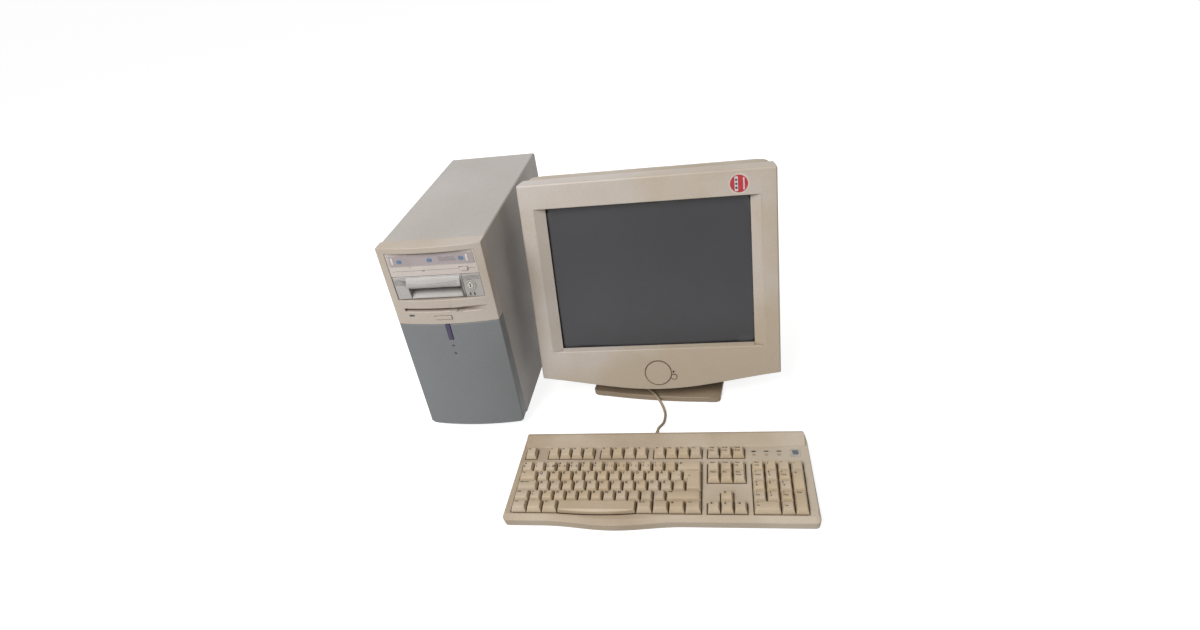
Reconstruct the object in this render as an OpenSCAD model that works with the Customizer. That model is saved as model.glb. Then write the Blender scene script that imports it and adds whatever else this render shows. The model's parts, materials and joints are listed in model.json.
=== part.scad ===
// Desktop computer set: a mini tower, a 17 inch tube monitor on a tilt and swivel base,
// and a full-size keyboard with its cord. All lengths are in millimetres.
//
// Everything is drawn in desk coordinates: x to the right, y away from the user, z up
// from the desk, with x = 0 and y = 0 at the front left corner of the letter keys.
// The whole set is then moved so that the origin lies at the middle of its floor plan.

/* [Tower] */
// Width of the tower
tower_w = 175; // [170:1:200]
// Depth of the tower, from the corners of its front to its back
tower_d = 394; // [390:1:430]
// Height of the tower above the desk
tower_h = 366; // [366:1:400]
// Left side of the tower
tower_left = -206.7; // [-240:0.1:-190]
// Front corners of the tower
tower_front = 222.9; // [200:0.1:260]
// How far the front bows out at its middle
front_bow = 8; // [5:0.5:12]
// Depth of the front moulding at its sides
moulding_depth = 23; // [20:1:27]
// Wall of the front moulding
moulding_wall = 3; // [2.5:0.1:3.5]
// Distance from the tower's top down to the seam between its front panels
seam_drop = 141; // [138:0.5:143]
// Radius of the lower panel's bottom corners
panel_corner_r = 8; // [5:0.5:10]
// Height of the rubber feet
foot_h = 10; // [8:0.5:14]
// Radius of the rubber feet
foot_r = 10; // [7:0.5:13]
// Width of the opening for the two drives
bay_w = 148.5; // [148:0.1:149.5]
// Height of one drive opening
bay_h = 42.5; // [42.3:0.1:43]
// Distance from the tower's top to the drive opening
bay_drop = 10; // [8:0.5:11]
// Steel thickness of the chassis
sheet_t = 1.2; // [0.8:0.1:1.5]
// Steel thickness of the cover
cover_t = 1; // [0.8:0.1:1.2]
// Outer bend radius of the cover's top edges
cover_r = 4; // [3:0.5:6]

/* [Drives and buttons] */
// Thickness of the drives' front plates
drive_front_t = 4; // [3:0.5:5]
// Depth of the disc drive behind its front plate
cd_depth = 190; // [170:1:200]
// Width of the disc tray
tray_w = 127; // [125:1:130]
// Travel of the disc tray
tray_travel = 130; // [100:1:132]
// Depth of the drawer frame behind its front plate
rack_depth = 190; // [180:1:200]
// Width of the drawer's front
drawer_w = 117; // [114:1:119]
// Reach of the finger recess into the drawer
grip_depth = 15; // [10:0.5:17]
// Radius of the lock's turning plug
lock_r = 5.5; // [4:0.1:6]
// Width of the floppy slot
slot_w = 92; // [91:0.5:94]
// Height of the floppy slot
slot_h = 6; // [5.4:0.1:6.5]
// Width of the power button
power_w = 7; // [5:0.5:9]
// Height of the power button
power_h = 30; // [20:1:34]

/* [Monitor] */
// Width of the screen surround
monitor_w = 415; // [405:1:430]
// Height of the screen surround at its corners
monitor_h = 346.7; // [342:0.1:355]
// Depth of the screen surround
surround_depth = 33; // [32:1:38]
// How far the lower edge of the surround bows down
chin_drop = 26.9; // [22:0.1:28]
// Width of the surround beside the opening for the screen
border_w = 41.3; // [40:0.1:44]
// Height of the opening around the screen
screen_h = 252.5; // [246:0.1:256]
// Lower edge of the opening above the corners of the surround
screen_z = 53; // [50:0.5:56]
// Depth at which the glass lies behind the surround
screen_recess = 10; // [8:0.5:12]
// Overall depth of the monitor
monitor_d = 425; // [415:1:450]
// Width of the tail of the housing
tail_w = 210; // [190:1:240]
// Wall of the rear housing
housing_wall = 3; // [2.5:0.1:4]
// How far the monitor leans back
lean = 11.75; // [10:0.25:13]
// Middle of the monitor from left to right
monitor_x = 211; // [208:0.1:220]
// Front of the monitor at its lower corners
monitor_y = 271.3; // [268:0.1:274]
// Height of the lower corners above the desk
monitor_z = 65.2; // [65:0.1:72]
// Radius of the round menu dial
dial_r = 22.4; // [20:0.1:22.5]
// Radius of the monitor's power button
monitor_button_r = 4.2; // [3:0.1:4.4]

/* [Monitor base] */
// Width of the base
base_w = 232; // [215:1:250]
// Depth of the base
base_d = 226; // [210:1:245]
// Height of the base at its edges
base_edge_h = 11.7; // [10:0.1:12]
// Height of the base at its middle
base_top = 15; // [14.5:0.1:16]
// How far the base is turned under the monitor
base_turn = -7.3; // [-9:0.1:0]
// Middle of the front edge of the base, from left to right
base_x = 198.6; // [195:0.1:203]
// Front edge of the base
base_y = 280.7; // [276:0.1:285]
// How far the front edge of the base bows out
base_bow = 6.6; // [4:0.1:8]
// Radius of the swivel disc
disc_r = 60; // [50:1:62]
// Height of the ball joint's centre above the desk
ball_z = 120; // [116:0.5:126]
// Place of the ball joint's centre behind the letter keys
ball_y = 378; // [374:0.5:382]
// Radius of the ball under the monitor
ball_r = 101.5; // [97:0.1:102]

/* [Keyboard] */
// Distance from key to key
pitch = 19.05; // [19:0.05:19.2]
// Gap between the letter keys and the cursor keys
gap_left = 8.3; // [6:0.1:10]
// Gap between the cursor keys and the number pad
gap_right = 8.9; // [6:0.1:10]
// Front edge of the function keys
function_row = 107; // [104:0.1:109]
// Height of the case's key deck at the front edge of the keys
deck_z = 20.6; // [20:0.1:24]
// Slope of the key deck
deck_slope = 3; // [2:0.1:4]
// Height of a key above the key deck
key_h = 8.4; // [7:0.1:9.5]
// Gap between two neighbouring keys
key_gap = 0.9; // [0.6:0.1:1.2]
// How far a key goes down
key_travel = 3.5; // [2:0.1:3.6]
// Width of the keyboard's case at its front
keyboard_w = 464; // [462:1:476]
// Middle of the keyboard's case from left to right
keyboard_mid = 219.5; // [218:0.1:221]
// Back edge of the keyboard's case
keyboard_back = 160; // [158:0.5:168]
// Height of the case along its back edge
keyboard_back_z = 36; // [33:0.5:38]
// Height of the crease around the case's front
crease_z = 16.5; // [14:0.5:17.5]
// How far the case bulges forward under the space bar
palm_bulge = 8; // [5:0.5:10]
// Wall of the keyboard's case
case_wall = 2.6; // [2:0.1:3]
// Height of the keyboard's rubber pads
pad_h = 1.5; // [1:0.1:2]

/* [Keyboard cord] */
// Diameter of the cord
cord_d = 5; // [4:0.1:5.2]

/* [Hidden] */
$fn = 48;

// Clearances
seam = 0.3;          // gap at a seam between two fixed pieces
slip = 0.3;          // gap around a piece that slides
turn = 0.05;         // gap around a pin or shaft that turns
over = 1;            // how far a cut runs past the face it opens

// ---- tower, worked out ----
bow_r = (pow(tower_w / 2, 2) + pow(front_bow, 2)) / (2 * front_bow);
tower_mid = tower_w / 2;
panel_z = foot_h - 1.5;                  // lower edge of the lower panel
seam_z = tower_h - seam_drop;            // seam between the upper and the lower front panel
bay_x = (tower_w - bay_w) / 2;
bay_z = tower_h - bay_drop;              // upper edge of the drive opening
cd_z = bay_z - bay_h;                    // lower edge of the disc drive's opening
rack_z = cd_z - bay_h;                   // lower edge of the drawer's opening
drive_face_y = -1.5;                     // front of the drives, ahead of the corners
drive_back_y = drive_face_y + drive_front_t;
drive_w = 146;
drive_x = tower_mid - drive_w / 2;
cover_inset = 0.5;
chassis_x = cover_inset + cover_t + seam;
chassis_w = tower_w - 2 * chassis_x;
chassis_top = tower_h - cover_inset - cover_t - seam;
chassis_front = moulding_depth + 1;
rear_y = tower_d - cover_t - seam - sheet_t;     // inner face of the rear panel
cage_depth = 150;
cage_gap = 0.2;
tray_wall_x = tower_w - 8;               // plate that carries the main board

// The disc drive and its tray
door_w = bay_w - 6.5;
door_h = 20.6;
door_z = bay_z - 24.2;
tray_t = 8;
tray_z = door_z + 4;
tray_len = 144;
disc_r_cut = 60.5;
disc_cut = 5;
rail_w = 8;
cd_button = [14, 5.6];                   // width and height
cd_button_at = [138.2, cd_z + 10];       // centre, from the tower's left side

// The drawer frame
rack_wall = 1.6;
drawer_x = bay_x + 0.4;
drawer_edge = drawer_x + drawer_w;       // right edge of the drawer's front
lock_at = [drawer_edge + 11.6, rack_z + 22];
lock_ring_r = 9;
grip_x = [drawer_x + 24, drawer_edge - 5];
grip_z = [rack_z + 3, rack_z + 22];
lip_z = [rack_z + 22.5, rack_z + 39.5];
lip_out = 5;
disk = [101.6, 147, 26.1];               // a 3.5 inch hard disk
disk_y = 26;

// The floppy drive
slot_x = 19;
slot_z = seam_z + 24.5;
floppy = [101.6, 146, 25.4];
floppy_x = slot_x + slot_w / 2 - floppy[0] / 2 + 0.5;
floppy_z = slot_z - 16;
floppy_y = 14;
floppy_shelf_z = floppy_z + floppy[2] + 0.3;
flap_y = 3.4;
flap_t = 1.2;
flap_pin_r = 0.8;
flap_pin_z = slot_z + slot_h + 0.6;
scoop_end = 161;
floppy_button = [29, 5.6];
floppy_button_at = [84.5, seam_z + 13];
floppy_lamp_at = [29.2, seam_z + 16.6];
floppy_lamp = [8.4, 2.6];

// Power button and lamps in the lower panel
power_top = seam_z - 0.8;
lamp_r = 1.3;
lamp_z = [seam_z - 43, seam_z - 59];
frame_y = 15;                            // hidden frame behind the lower panel
frame_t = 3;

// Power supply, main board and card
supply = [150, 140, 86];
supply_x = tower_mid - supply[0] / 2 - 3.5;
supply_y = rear_y - supply[1];
supply_z = rack_z + 5;
supply_wall = 1.2;
fan_at = [supply_x + 52, supply_z + 43];
fan_r = 37;
fan_depth = 25;
inlet_at = [supply_x + 122, supply_z + 43];
inlet = [27, 20, 18];                    // width, height, depth of its hole
board_t = 1.6;
board_x = tray_wall_x - 6 - board_t;     // solder side stands 6 mm off the plate
board_z = foot_h + 8;
board = [205, supply_z - board_z - 18];  // depth and height
board_y = rear_y - board[0] - 1;
cpu_at = [board_y + 90, board_z + board[1] - 80];
socket_h = 6;
sink = [62, 30, 6];                      // side, fin height, base
fin_count = 11;
cpu_fan_r = 27;
card_z = board_z + 42;
card = [100, 120];
port_z = board_z + board[1] - 160;       // lower end of the port row
// Rear ports: offset along the row, width across it, length along it, height above board
PORTS = [
    [118, 24, 26, 30], [95, 12, 18, 14], [60, 12, 31, 12], [60, 12, 31, 26], [8, 12, 48, 12]
];

// ---- monitor, worked out ----
half_w = monitor_w / 2;
screen_w = monitor_w - 2 * border_w;     // opening around the screen
screen_top = screen_z + screen_h;
screen_mid = screen_z + screen_h / 2;
top_rise = 2.4;                          // the surround's top climbs towards the back
side_taper = 4;                          // its sides close in towards the back
top_corner_r = 6;
cheek_w = 17;                            // sloping flanks beside the screen
sill_h = 3;
housing_front = surround_depth + seam;
collar_w = monitor_w - 2 * side_taper - 3;
collar_depth = 20;
tail_start = 300;
belly_start = 190;
belly_z = 10;
tail_z = [95, 262];
collar_z = [-2, monitor_h + top_rise - 0.5];
dial_at = [0, 4.9];
dial_gap = 0.4;
dial_t = 5;
dial_shaft_r = 4;
button_at = [26.9, -3];
lamp_at = [26.4, 6.2];
ball_d = (ball_y - monitor_y) * cos(lean) - (ball_z - monitor_z) * sin(lean);
ball_h = (ball_y - monitor_y) * sin(lean) + (ball_z - monitor_z) * cos(lean);
glass = [screen_w + 23.6, screen_h + 25.5]; // outer size of the tube's face
glass_r = 24;
face_r = 1500;                           // curvature of the face
skirt_depth = 75;
face_t = 11;
funnel_t = 6;
cone_y = 240;
neck_y = 290;
neck_end = 378;
cone_r = 45;
neck_r = 14.6;
band_t = 2;
video_at = [-48, 120];                   // sockets in the back of the tail
mains_at = [44, 120];
vent_r = 2.8;
board_level = 26;
board_front = 48;
board_back = 192;
tube_room = 17;                          // from the opening out to the space for the tube
post_x = glass[0] / 2 + 9;               // screws that hold the tube
post_z = glass[1] / 2 - 7;
lug_y = screen_recess + 20;

// ---- base, worked out ----
base_foot_h = 1.5;
base_bevel = 40;
base_wall = 3;
spigot_r = 8;
disc_z = base_top + seam;
disc_h = 11.5;

// ---- keyboard, worked out ----
nav_x = 15 * pitch + gap_left;
pad_x = nav_x + 3 * pitch + gap_right;
rows = [for (i = [0 : 4]) i * pitch];
deck_rise = tan(deck_slope);
strip_y = function_row + pitch + 5;
well_gap = 0.6;
key_base = -1;                           // rim of a key, below the deck
side_run = 3.1;
front_run = 3.5;
back_run = 1.4;
stem = 5;
plate_n = -6.5;                          // upper face of the switch plate, below the deck
plate_t = 1.5;
stem_n = plate_n - plate_t - 1;          // lower end of the key stems
space_bulge = 3;
space_from = 3.75;
space_units = 6.25;
skirt_z = pad_h + 1.5;
foot_size = [28, 22, 3.6];
foot_x = [20, 392];
foot_pivot = [150, pad_h + 2.4];
foot_pin_r = 1.4;
status_x = [365, 384, 403];
status_y = 121;
controller = [110, 20, 1.6];
controller_at = [322, strip_y + 2, 11];

// ---- cord, worked out ----
cord_r = cord_d / 2;
exit_x = 210;
exit_z = 13;
relief_len = 24;
exit_y = keyboard_back + relief_len;
// Route from the keyboard's strain relief to the coil behind the base, chosen by hand
ROUTE = [
    [exit_x, exit_y, exit_z], [210.6, 191, 12.6], [213, 200, 10.2], [216, 210, 6.4],
    [218.2, 220, 3.6], [219.2, 231, 2.7], [219, 242, 2.7], [216.6, 252, 4.2],
    [212.2, 262, 8.2], [206.4, 271.5, 12.4], [199.4, 281.5, 15], [190, 292.5, 15.8],
    [177, 302.5, 16.3], [160, 312, 16.9], [141, 322, 17.5], [123, 334.5, 17.5],
    [108, 350, 16.4], [95, 367, 15.4], [86, 383, 13.2], [79.5, 400, 8.8],
    [75.5, 418, 4.4], [74, 438, 2.7], [76.5, 463, 2.7], [83, 488, 2.7], [95, 510, 2.7],
    [114, 525, 2.7], [137, 531, 2.7], [157, 532, 2.7], [172, 530.3, 2.7]
];
coil_at = [185, 560];
coil_outer = 32.5;                       // centre line of the outer turns
coil_inner = 22.5;                       // centre line of the inner turns
coil_layers = 2;
// Route from the coil to the plug, chosen by hand
TAIL = [[175, 592.6, 7.5], [166, 592.8, 7], [156, 593, 6.4], [147, 593, 6.2], [138, 593, 6.4], [130, 593, 6.5]];
plug_at = [130, 593, 6.5];
plug_r = 6.2;

// ---- where the origin lies ----
tail_top_y = monitor_y + monitor_d * cos(lean) + tail_z[1] * sin(lean);
palm_y = -12;
min_x = tower_left;
max_x = keyboard_mid + keyboard_w / 2;
min_y = palm_y - palm_bulge;
mid_x = (min_x + max_x) / 2;
mid_y = (min_y + tail_top_y) / 2;

// Colours
beige = "#cfc2b0";
pale_beige = "#c9bba5";
key_beige = "#d3c4a6";
panel_grey = "#7f8688";
light_grey = "#b9b8b3";
steel = "#b4b8bb";
silver = "#c8cbcd";
white = "#e4dfd8";
dark = "#2b2b2e";
violet = "#3f3350";
board_green = "#2f6a3c";

// ---------------------------------------------------------------- helpers

// A box between two opposite corners
module block(a, b) translate(a) cube(b - a);

// Extrudes an x-z outline along y
module along_y(y0, y1) translate([0, y1, 0]) rotate([90, 0, 0]) linear_extrude(y1 - y0) children();

// Extrudes a y-z outline along x
module along_x(x0, x1) translate([x0, 0, 0]) rotate([90, 0, 90]) linear_extrude(x1 - x0) children();

// A cylinder along y, from one depth to another
module rod_y(x, z, r, y0, y1) translate([x, y1, z]) rotate([90, 0, 0]) cylinder(r = r, h = y1 - y0);

// A cylinder along x
module rod_x(y, z, r, x0, x1) translate([x0, y, z]) rotate([0, 90, 0]) cylinder(r = r, h = x1 - x0);

// A rectangle with round corners, its middle at the origin
module round_rect(w, h, r) {
    square([w, h - 2 * r], center = true);
    square([w - 2 * r, h], center = true);
    for (sx = [-1, 1], sy = [-1, 1])
        translate([sx * (w / 2 - r), sy * (h / 2 - r)]) circle(r);
}

module at_origin() translate([-mid_x, -mid_y, 0]) children();

module at_tower() at_origin() translate([tower_left, tower_front, 0]) children();

module at_monitor() at_origin() translate([monitor_x, monitor_y, monitor_z])
    rotate([-lean, 0, 0]) children();

module at_base() at_origin() translate([base_x, base_y, 0]) rotate([0, 0, base_turn]) children();

module at_ball() at_origin() translate([monitor_x, ball_y, ball_z]) children();

// Keyboard deck: x and y along the deck, z square to it
module at_deck() at_origin() translate([0, 0, deck_z]) rotate([deck_slope, 0, 0]) children();

// Middle of a ring of points
function middle(layer) = [for (i = [0 : len(layer) - 1]) 1] * layer / len(layer);

// A solid through closed rings of points, all with the same number of points
module skin(rings) {
    n = len(rings[0]);
    last = (len(rings) - 1) * n;
    end = last + n;
    sides = [
        for (i = [0 : len(rings) - 2], k = [0 : n - 1], half = [0, 1])
            let (a = i * n + k, b = i * n + (k + 1) % n)
            half == 0 ? [a, a + n, b] : [b, a + n, b + n]
    ];
    caps = [
        for (k = [0 : n - 1], j = [0, 1])
            j == 0 ? [k, (k + 1) % n, end] : [last + (k + 1) % n, last + k, end + 1]
    ];
    middles = [middle(rings[0]), middle(rings[len(rings) - 1])];
    polyhedron(concat([for (layer = rings) each layer], middles), concat(sides, caps), convexity = 6);
}

// A tube swept along a list of points, its rings standing square to the route
function unit(v) = v / norm(v);
function heading(pts, i) = unit(pts[min(i + 1, len(pts) - 1)] - pts[max(i - 1, 0)]);
function side_of(t) = unit(cross(t, [0, 0, 1]));
function ring(p, t, r, n) = [
    for (k = [0 : n - 1])
        p + r * (cos(360 * k / n) * side_of(t) - sin(360 * k / n) * cross(side_of(t), t))
];
module tube(pts, r, n) skin([for (i = [0 : len(pts) - 1]) ring(pts[i], heading(pts, i), r, n)]);

// A smooth step from 0 to 1
function ease(u) = let (c = min(max(u, 0), 1)) c * c * (3 - 2 * c);

// ---------------------------------------------------------------- tower

// Plan of the front moulding: straight sides and a bowed front, set in by a wall
module front_plan(inset, back) intersection() {
    translate([inset, -front_bow]) square([tower_w - 2 * inset, back + front_bow]);
    translate([tower_mid, bow_r - front_bow + inset]) circle(r = bow_r, $fn = 96);
}

// The part of the front moulding that lies between two sides and two heights
module front_slice(x0, x1, z0, z1, back) translate([0, 0, z0]) linear_extrude(z1 - z0)
    intersection() {
        front_plan(0, back);
        translate([x0, -front_bow]) square([x1 - x0, back + front_bow]);
    }

module front_bezel() color(beige) at_tower() difference() {
    union() {
        difference() {
            front_slice(0, tower_w, seam_z, tower_h, moulding_depth);
            translate([0, 0, seam_z + moulding_wall])
                linear_extrude(tower_h - seam_z - 2 * moulding_wall)
                front_plan(moulding_wall, moulding_depth + over);
        }
        // collar around the drive opening
        front_slice(bay_x - 2, bay_x + bay_w + 2, rack_z - 2, bay_z + 2, moulding_depth);
        // thick wall around the floppy slot
        front_slice(slot_x - 5, scoop_end + 3, seam_z + 6, slot_z + slot_h + 6, 11);
        // hidden frame that the lower panel snaps on
        block([moulding_wall + 1, frame_y, panel_z + 12],
              [tower_w - moulding_wall - 1, frame_y + frame_t, seam_z + 1]);
    }
    block([bay_x, -front_bow - over, rack_z],
          [bay_x + bay_w, moulding_depth + over, bay_z]);
    // slot, with room behind it for the flap to swing in
    block([slot_x, -front_bow - over, slot_z], [slot_x + slot_w, 12, slot_z + slot_h]);
    block([slot_x, flap_y - 1.4, slot_z - 1], [slot_x + slot_w, 12, slot_z + slot_h + 2.4]);
    rod_x(flap_y + flap_t / 2, flap_pin_z, flap_pin_r + turn, slot_x - 2.2, slot_x + slot_w + 2.2);
    // finger scoop that runs out to the right of the slot
    translate([0, 0, slot_z - 1.6]) linear_extrude(slot_h + 2)
        polygon([[slot_x + slot_w - 1, 5], [slot_x + slot_w - 1, -front_bow - over],
                 [scoop_end, -front_bow - over], [scoop_end, -1.6]]);
    // windows for the eject button and the lamp
    block([floppy_button_at[0] - floppy_button[0] / 2 - slip, -front_bow - over,
           floppy_button_at[1] - floppy_button[1] / 2 - slip],
          [floppy_button_at[0] + floppy_button[0] / 2 + slip, 12,
           floppy_button_at[1] + floppy_button[1] / 2 + slip]);
    block([floppy_lamp_at[0] - floppy_lamp[0] / 2 - slip, -front_bow - over,
           floppy_lamp_at[1] - floppy_lamp[1] / 2 - slip],
          [floppy_lamp_at[0] + floppy_lamp[0] / 2 + slip, 12,
           floppy_lamp_at[1] + floppy_lamp[1] / 2 + slip]);
    // guides for the power button's stem and the lamps
    block([tower_mid - 2.3, frame_y - over, power_top - power_h / 2 - 2.3],
          [tower_mid + 2.3, frame_y + frame_t + over, power_top - power_h / 2 + 2.3]);
    for (z = lamp_z) rod_y(tower_mid, z, lamp_r + turn, frame_y - over, frame_y + frame_t + over);
}

module lower_panel() color(panel_grey) at_tower() difference() {
    intersection() {
        front_slice(0, tower_w, panel_z, seam_z - seam, moulding_depth);
        along_y(-front_bow - over, moulding_depth + over)
            polygon(concat([[-over, seam_z], [-over, panel_z + panel_corner_r]],
                           corner(panel_corner_r, panel_z + panel_corner_r, panel_corner_r, 180),
                           corner(tower_w - panel_corner_r, panel_z + panel_corner_r, panel_corner_r, 270),
                           [[tower_w + over, panel_z + panel_corner_r], [tower_w + over, seam_z]]));
    }
    translate([0, 0, panel_z + moulding_wall]) linear_extrude(seam_z - panel_z)
        front_plan(moulding_wall, moulding_depth + over);
    block([tower_mid - power_w / 2 - slip, -front_bow - over, power_top - power_h - slip],
          [tower_mid + power_w / 2 + slip, 0, seam_z + over]);
    for (z = lamp_z) rod_y(tower_mid, z, lamp_r + turn, -front_bow - over, 0);
}

module power_button() color(violet) at_tower() {
    z = power_top - power_h / 2;
    block([tower_mid - power_w / 2, -front_bow - 0.8, power_top - power_h],
          [tower_mid + power_w / 2, -front_bow + moulding_wall + 0.5, power_top]);
    block([tower_mid - power_w / 2 - 2, -front_bow + moulding_wall + 0.5, power_top - power_h - 2],
          [tower_mid + power_w / 2 + 2, -front_bow + moulding_wall + 2.5, power_top - 2]);
    block([tower_mid - 2, -front_bow + moulding_wall + 2.5, z - 2],
          [tower_mid + 2, frame_y + frame_t + 2, z + 2]);
}

module front_leds() color(dark) at_tower()
    for (z = lamp_z) rod_y(tower_mid, z, lamp_r, -front_bow - 0.2, frame_y + frame_t + 1);

// Outline of the cover seen from the front, at a distance inside its outer face
module cover_outline(inset) {
    x = cover_inset + inset;
    r = cover_r - inset;
    top = tower_h - x;
    translate([x, foot_h - (inset > 0 ? over : 0)])
        square([tower_w - 2 * x, top - r - foot_h + (inset > 0 ? over : 0)]);
    translate([x + r, foot_h]) square([tower_w - 2 * x - 2 * r, top - foot_h]);
    for (cx = [x + r, tower_w - x - r]) translate([cx, top - r]) circle(r);
}

module tower_cover() color(light_grey) at_tower() {
    along_y(moulding_depth + seam, tower_d) difference() {
        cover_outline(0);
        cover_outline(cover_t);
    }
    // folded rear flange that the screws hold
    along_y(tower_d - cover_t, tower_d) difference() {
        cover_outline(cover_t / 2);
        translate([cover_inset + 12, 0])
            square([tower_w - 2 * cover_inset - 24, tower_h - cover_inset - 12]);
    }
}

// Hole for a port of the main board in the rear panel
module port_hole(p) block([board_x - p[3] - 0.5, rear_y - over, port_z + p[0] - 0.5],
                          [board_x - p[3] + p[1] + 0.5, rear_y + sheet_t + over,
                           port_z + p[0] + p[2] + 0.5]);

module tower_chassis() color(steel) at_tower() difference() {
    union() {
        block([chassis_x, chassis_front, foot_h],
              [chassis_x + chassis_w, rear_y + sheet_t, foot_h + sheet_t]);
        block([chassis_x, chassis_front, foot_h],
              [chassis_x + chassis_w, chassis_front + sheet_t, chassis_top]);
        block([chassis_x, rear_y, foot_h],
              [chassis_x + chassis_w, rear_y + sheet_t, chassis_top]);
        // plate that carries the main board, with its standoffs
        block([tray_wall_x, chassis_front, foot_h], [tray_wall_x + sheet_t, rear_y + 0.1, chassis_top]);
        for (y = [board_y + 12, board_y + board[0] - 12], z = [board_z + 12, board_z + board[1] - 12])
            rod_x(y, z, 3, board_x + board_t, tray_wall_x + 0.1);
        // drive cage
        for (x = [drive_x - cage_gap - sheet_t, drive_x + drive_w + cage_gap])
            block([x, chassis_front, floppy_z - 3],
                  [x + sheet_t, chassis_front + cage_depth, bay_z + 2]);
        block([drive_x - sheet_t, chassis_front, floppy_shelf_z],
              [drive_x + drive_w + sheet_t, chassis_front + cage_depth, floppy_shelf_z + sheet_t]);
        block([floppy_x + floppy[0] + cage_gap, chassis_front, floppy_z - 3],
              [floppy_x + floppy[0] + cage_gap + sheet_t, chassis_front + 110, floppy_shelf_z + 0.1]);
        // shelf under the power supply
        block([chassis_x, supply_y - 4, supply_z - sheet_t],
              [tray_wall_x + 0.1, rear_y + 0.1, supply_z]);
    }
    // front openings for the drives
    block([bay_x, chassis_front - over, rack_z], [bay_x + bay_w, chassis_front + sheet_t + over, bay_z]);
    block([floppy_x - cage_gap, chassis_front - over, floppy_z - 0.3],
          [floppy_x + floppy[0] + cage_gap, chassis_front + sheet_t + over, floppy_shelf_z]);
    // rear openings: power supply, ports, four card slots
    block([supply_x + 4, rear_y - over, supply_z + 4],
          [supply_x + supply[0] - 4, rear_y + sheet_t + over, supply_z + supply[2] - 4]);
    for (p = PORTS) port_hole(p);
    block([board_x - card[0] - 6, rear_y - over, card_z - 5.5],
          [board_x - 8, rear_y + sheet_t + over, card_z + 7]);
    // intake holes at the lower front
    for (i = [0 : 8]) block([40 + 11 * i, chassis_front - over, 60],
                            [45 + 11 * i, chassis_front + sheet_t + over, 100]);
}

module cd_drive() color(white) at_tower() difference() {
    union() {
        block([bay_x + seam, drive_face_y, cd_z + seam],
              [bay_x + bay_w - seam, drive_back_y, bay_z - seam]);
        block([drive_x, drive_back_y - 0.1, cd_z + 0.8],
              [drive_x + drive_w, drive_back_y + cd_depth, bay_z - 0.8]);
    }
    // opening for the tray's door, then the space that the tray runs in
    block([tower_mid - door_w / 2 - slip, drive_face_y - over, door_z - slip],
          [tower_mid + door_w / 2 + slip, drive_back_y + 2, door_z + door_h + slip]);
    difference() {
        block([tower_mid - tray_w / 2 - slip, 0, door_z - slip],
              [tower_mid + tray_w / 2 + slip, drive_back_y + tray_len + 6, door_z + door_h]);
        // runners above and below the tray's edges
        for (side = [-1, 1]) translate([tower_mid + side * (tray_w / 2 - rail_w / 2 + slip), 0, 0]) {
            block([-rail_w / 2, drive_back_y + 2, door_z - over],
                  [rail_w / 2, drive_back_y + tray_len + 8, tray_z - slip]);
            block([-rail_w / 2, drive_back_y + 2, tray_z + tray_t + slip],
                  [rail_w / 2, drive_back_y + tray_len + 8, tray_z + tray_t + 4]);
        }
    }
    block([cd_button_at[0] - cd_button[0] / 2 - slip, drive_face_y - over,
           cd_button_at[1] - cd_button[1] / 2 - slip],
          [cd_button_at[0] + cd_button[0] / 2 + slip, drive_back_y + 6,
           cd_button_at[1] + cd_button[1] / 2 + slip]);
    // groove across the front
    block([bay_x + 5, drive_face_y - over, cd_button_at[1] - 0.4],
          [bay_x + bay_w - 5, drive_face_y + 0.6, cd_button_at[1] + 0.4]);
}

module cd_tray() color(light_grey) at_tower() difference() {
    union() {
        block([tower_mid - door_w / 2, drive_face_y - 0.4, door_z],
              [tower_mid + door_w / 2, drive_back_y, door_z + door_h]);
        block([tower_mid - tray_w / 2, drive_back_y - 0.1, tray_z],
              [tower_mid + tray_w / 2, drive_back_y + tray_len, tray_z + tray_t]);
    }
    // recess for a disc, and the slot for the reading head
    translate([tower_mid, drive_back_y + disc_r_cut + 4, tray_z + tray_t - disc_cut])
        cylinder(r = disc_r_cut, h = disc_cut + over, $fn = 96);
    block([tower_mid - 17, drive_back_y + disc_r_cut - 12, tray_z - over],
          [tower_mid + 17, drive_back_y + tray_len - 12, tray_z + tray_t + over]);
}

module cd_eject_button() color(white) at_tower() {
    translate([cd_button_at[0], 0, cd_button_at[1]])
        along_y(drive_face_y - 1.6, drive_back_y + 2)
        round_rect(cd_button[0], cd_button[1], cd_button[1] / 2 - 0.1);
}

module rack_frame() color(silver) at_tower() difference() {
    union() {
        // fixed part of the front, beside the drawer
        block([drawer_edge + slip, drive_face_y, rack_z + seam],
              [bay_x + bay_w - seam, drive_back_y, cd_z - seam]);
        block([drive_x, drive_back_y + seam, rack_z + 0.8],
              [drive_x + drive_w, drive_back_y + rack_depth, cd_z - 0.8]);
        block([drawer_edge + slip, drive_back_y - 0.1, rack_z + 0.8],
              [drive_x + drive_w, drive_back_y + 1, cd_z - 0.8]);
        rod_y(lock_at[0], lock_at[1], lock_ring_r, drive_face_y - 1, drive_face_y + 1);
    }
    // channel for the drawer
    block([drive_x + rack_wall, drive_back_y - over, rack_z + 0.8 + rack_wall],
          [drawer_edge - rack_wall, drive_back_y + rack_depth - 4, cd_z - 0.8 - rack_wall]);
    // room for the key switch and its wiring
    block([drawer_edge + rack_wall, 40, rack_z + 4],
          [drive_x + drive_w - rack_wall, drive_back_y + rack_depth + over, cd_z - 4]);
    rod_y(lock_at[0], lock_at[1], lock_r + turn, drive_face_y - 2, 20);
    // two lamp slots
    for (i = [0, 1]) block([lock_at[0] - 4.5 + 7 * i, drive_face_y - over, rack_z + 3.4],
                           [lock_at[0] - 2.7 + 7 * i, drive_face_y + 1.5, rack_z + 8.2]);
}

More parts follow.
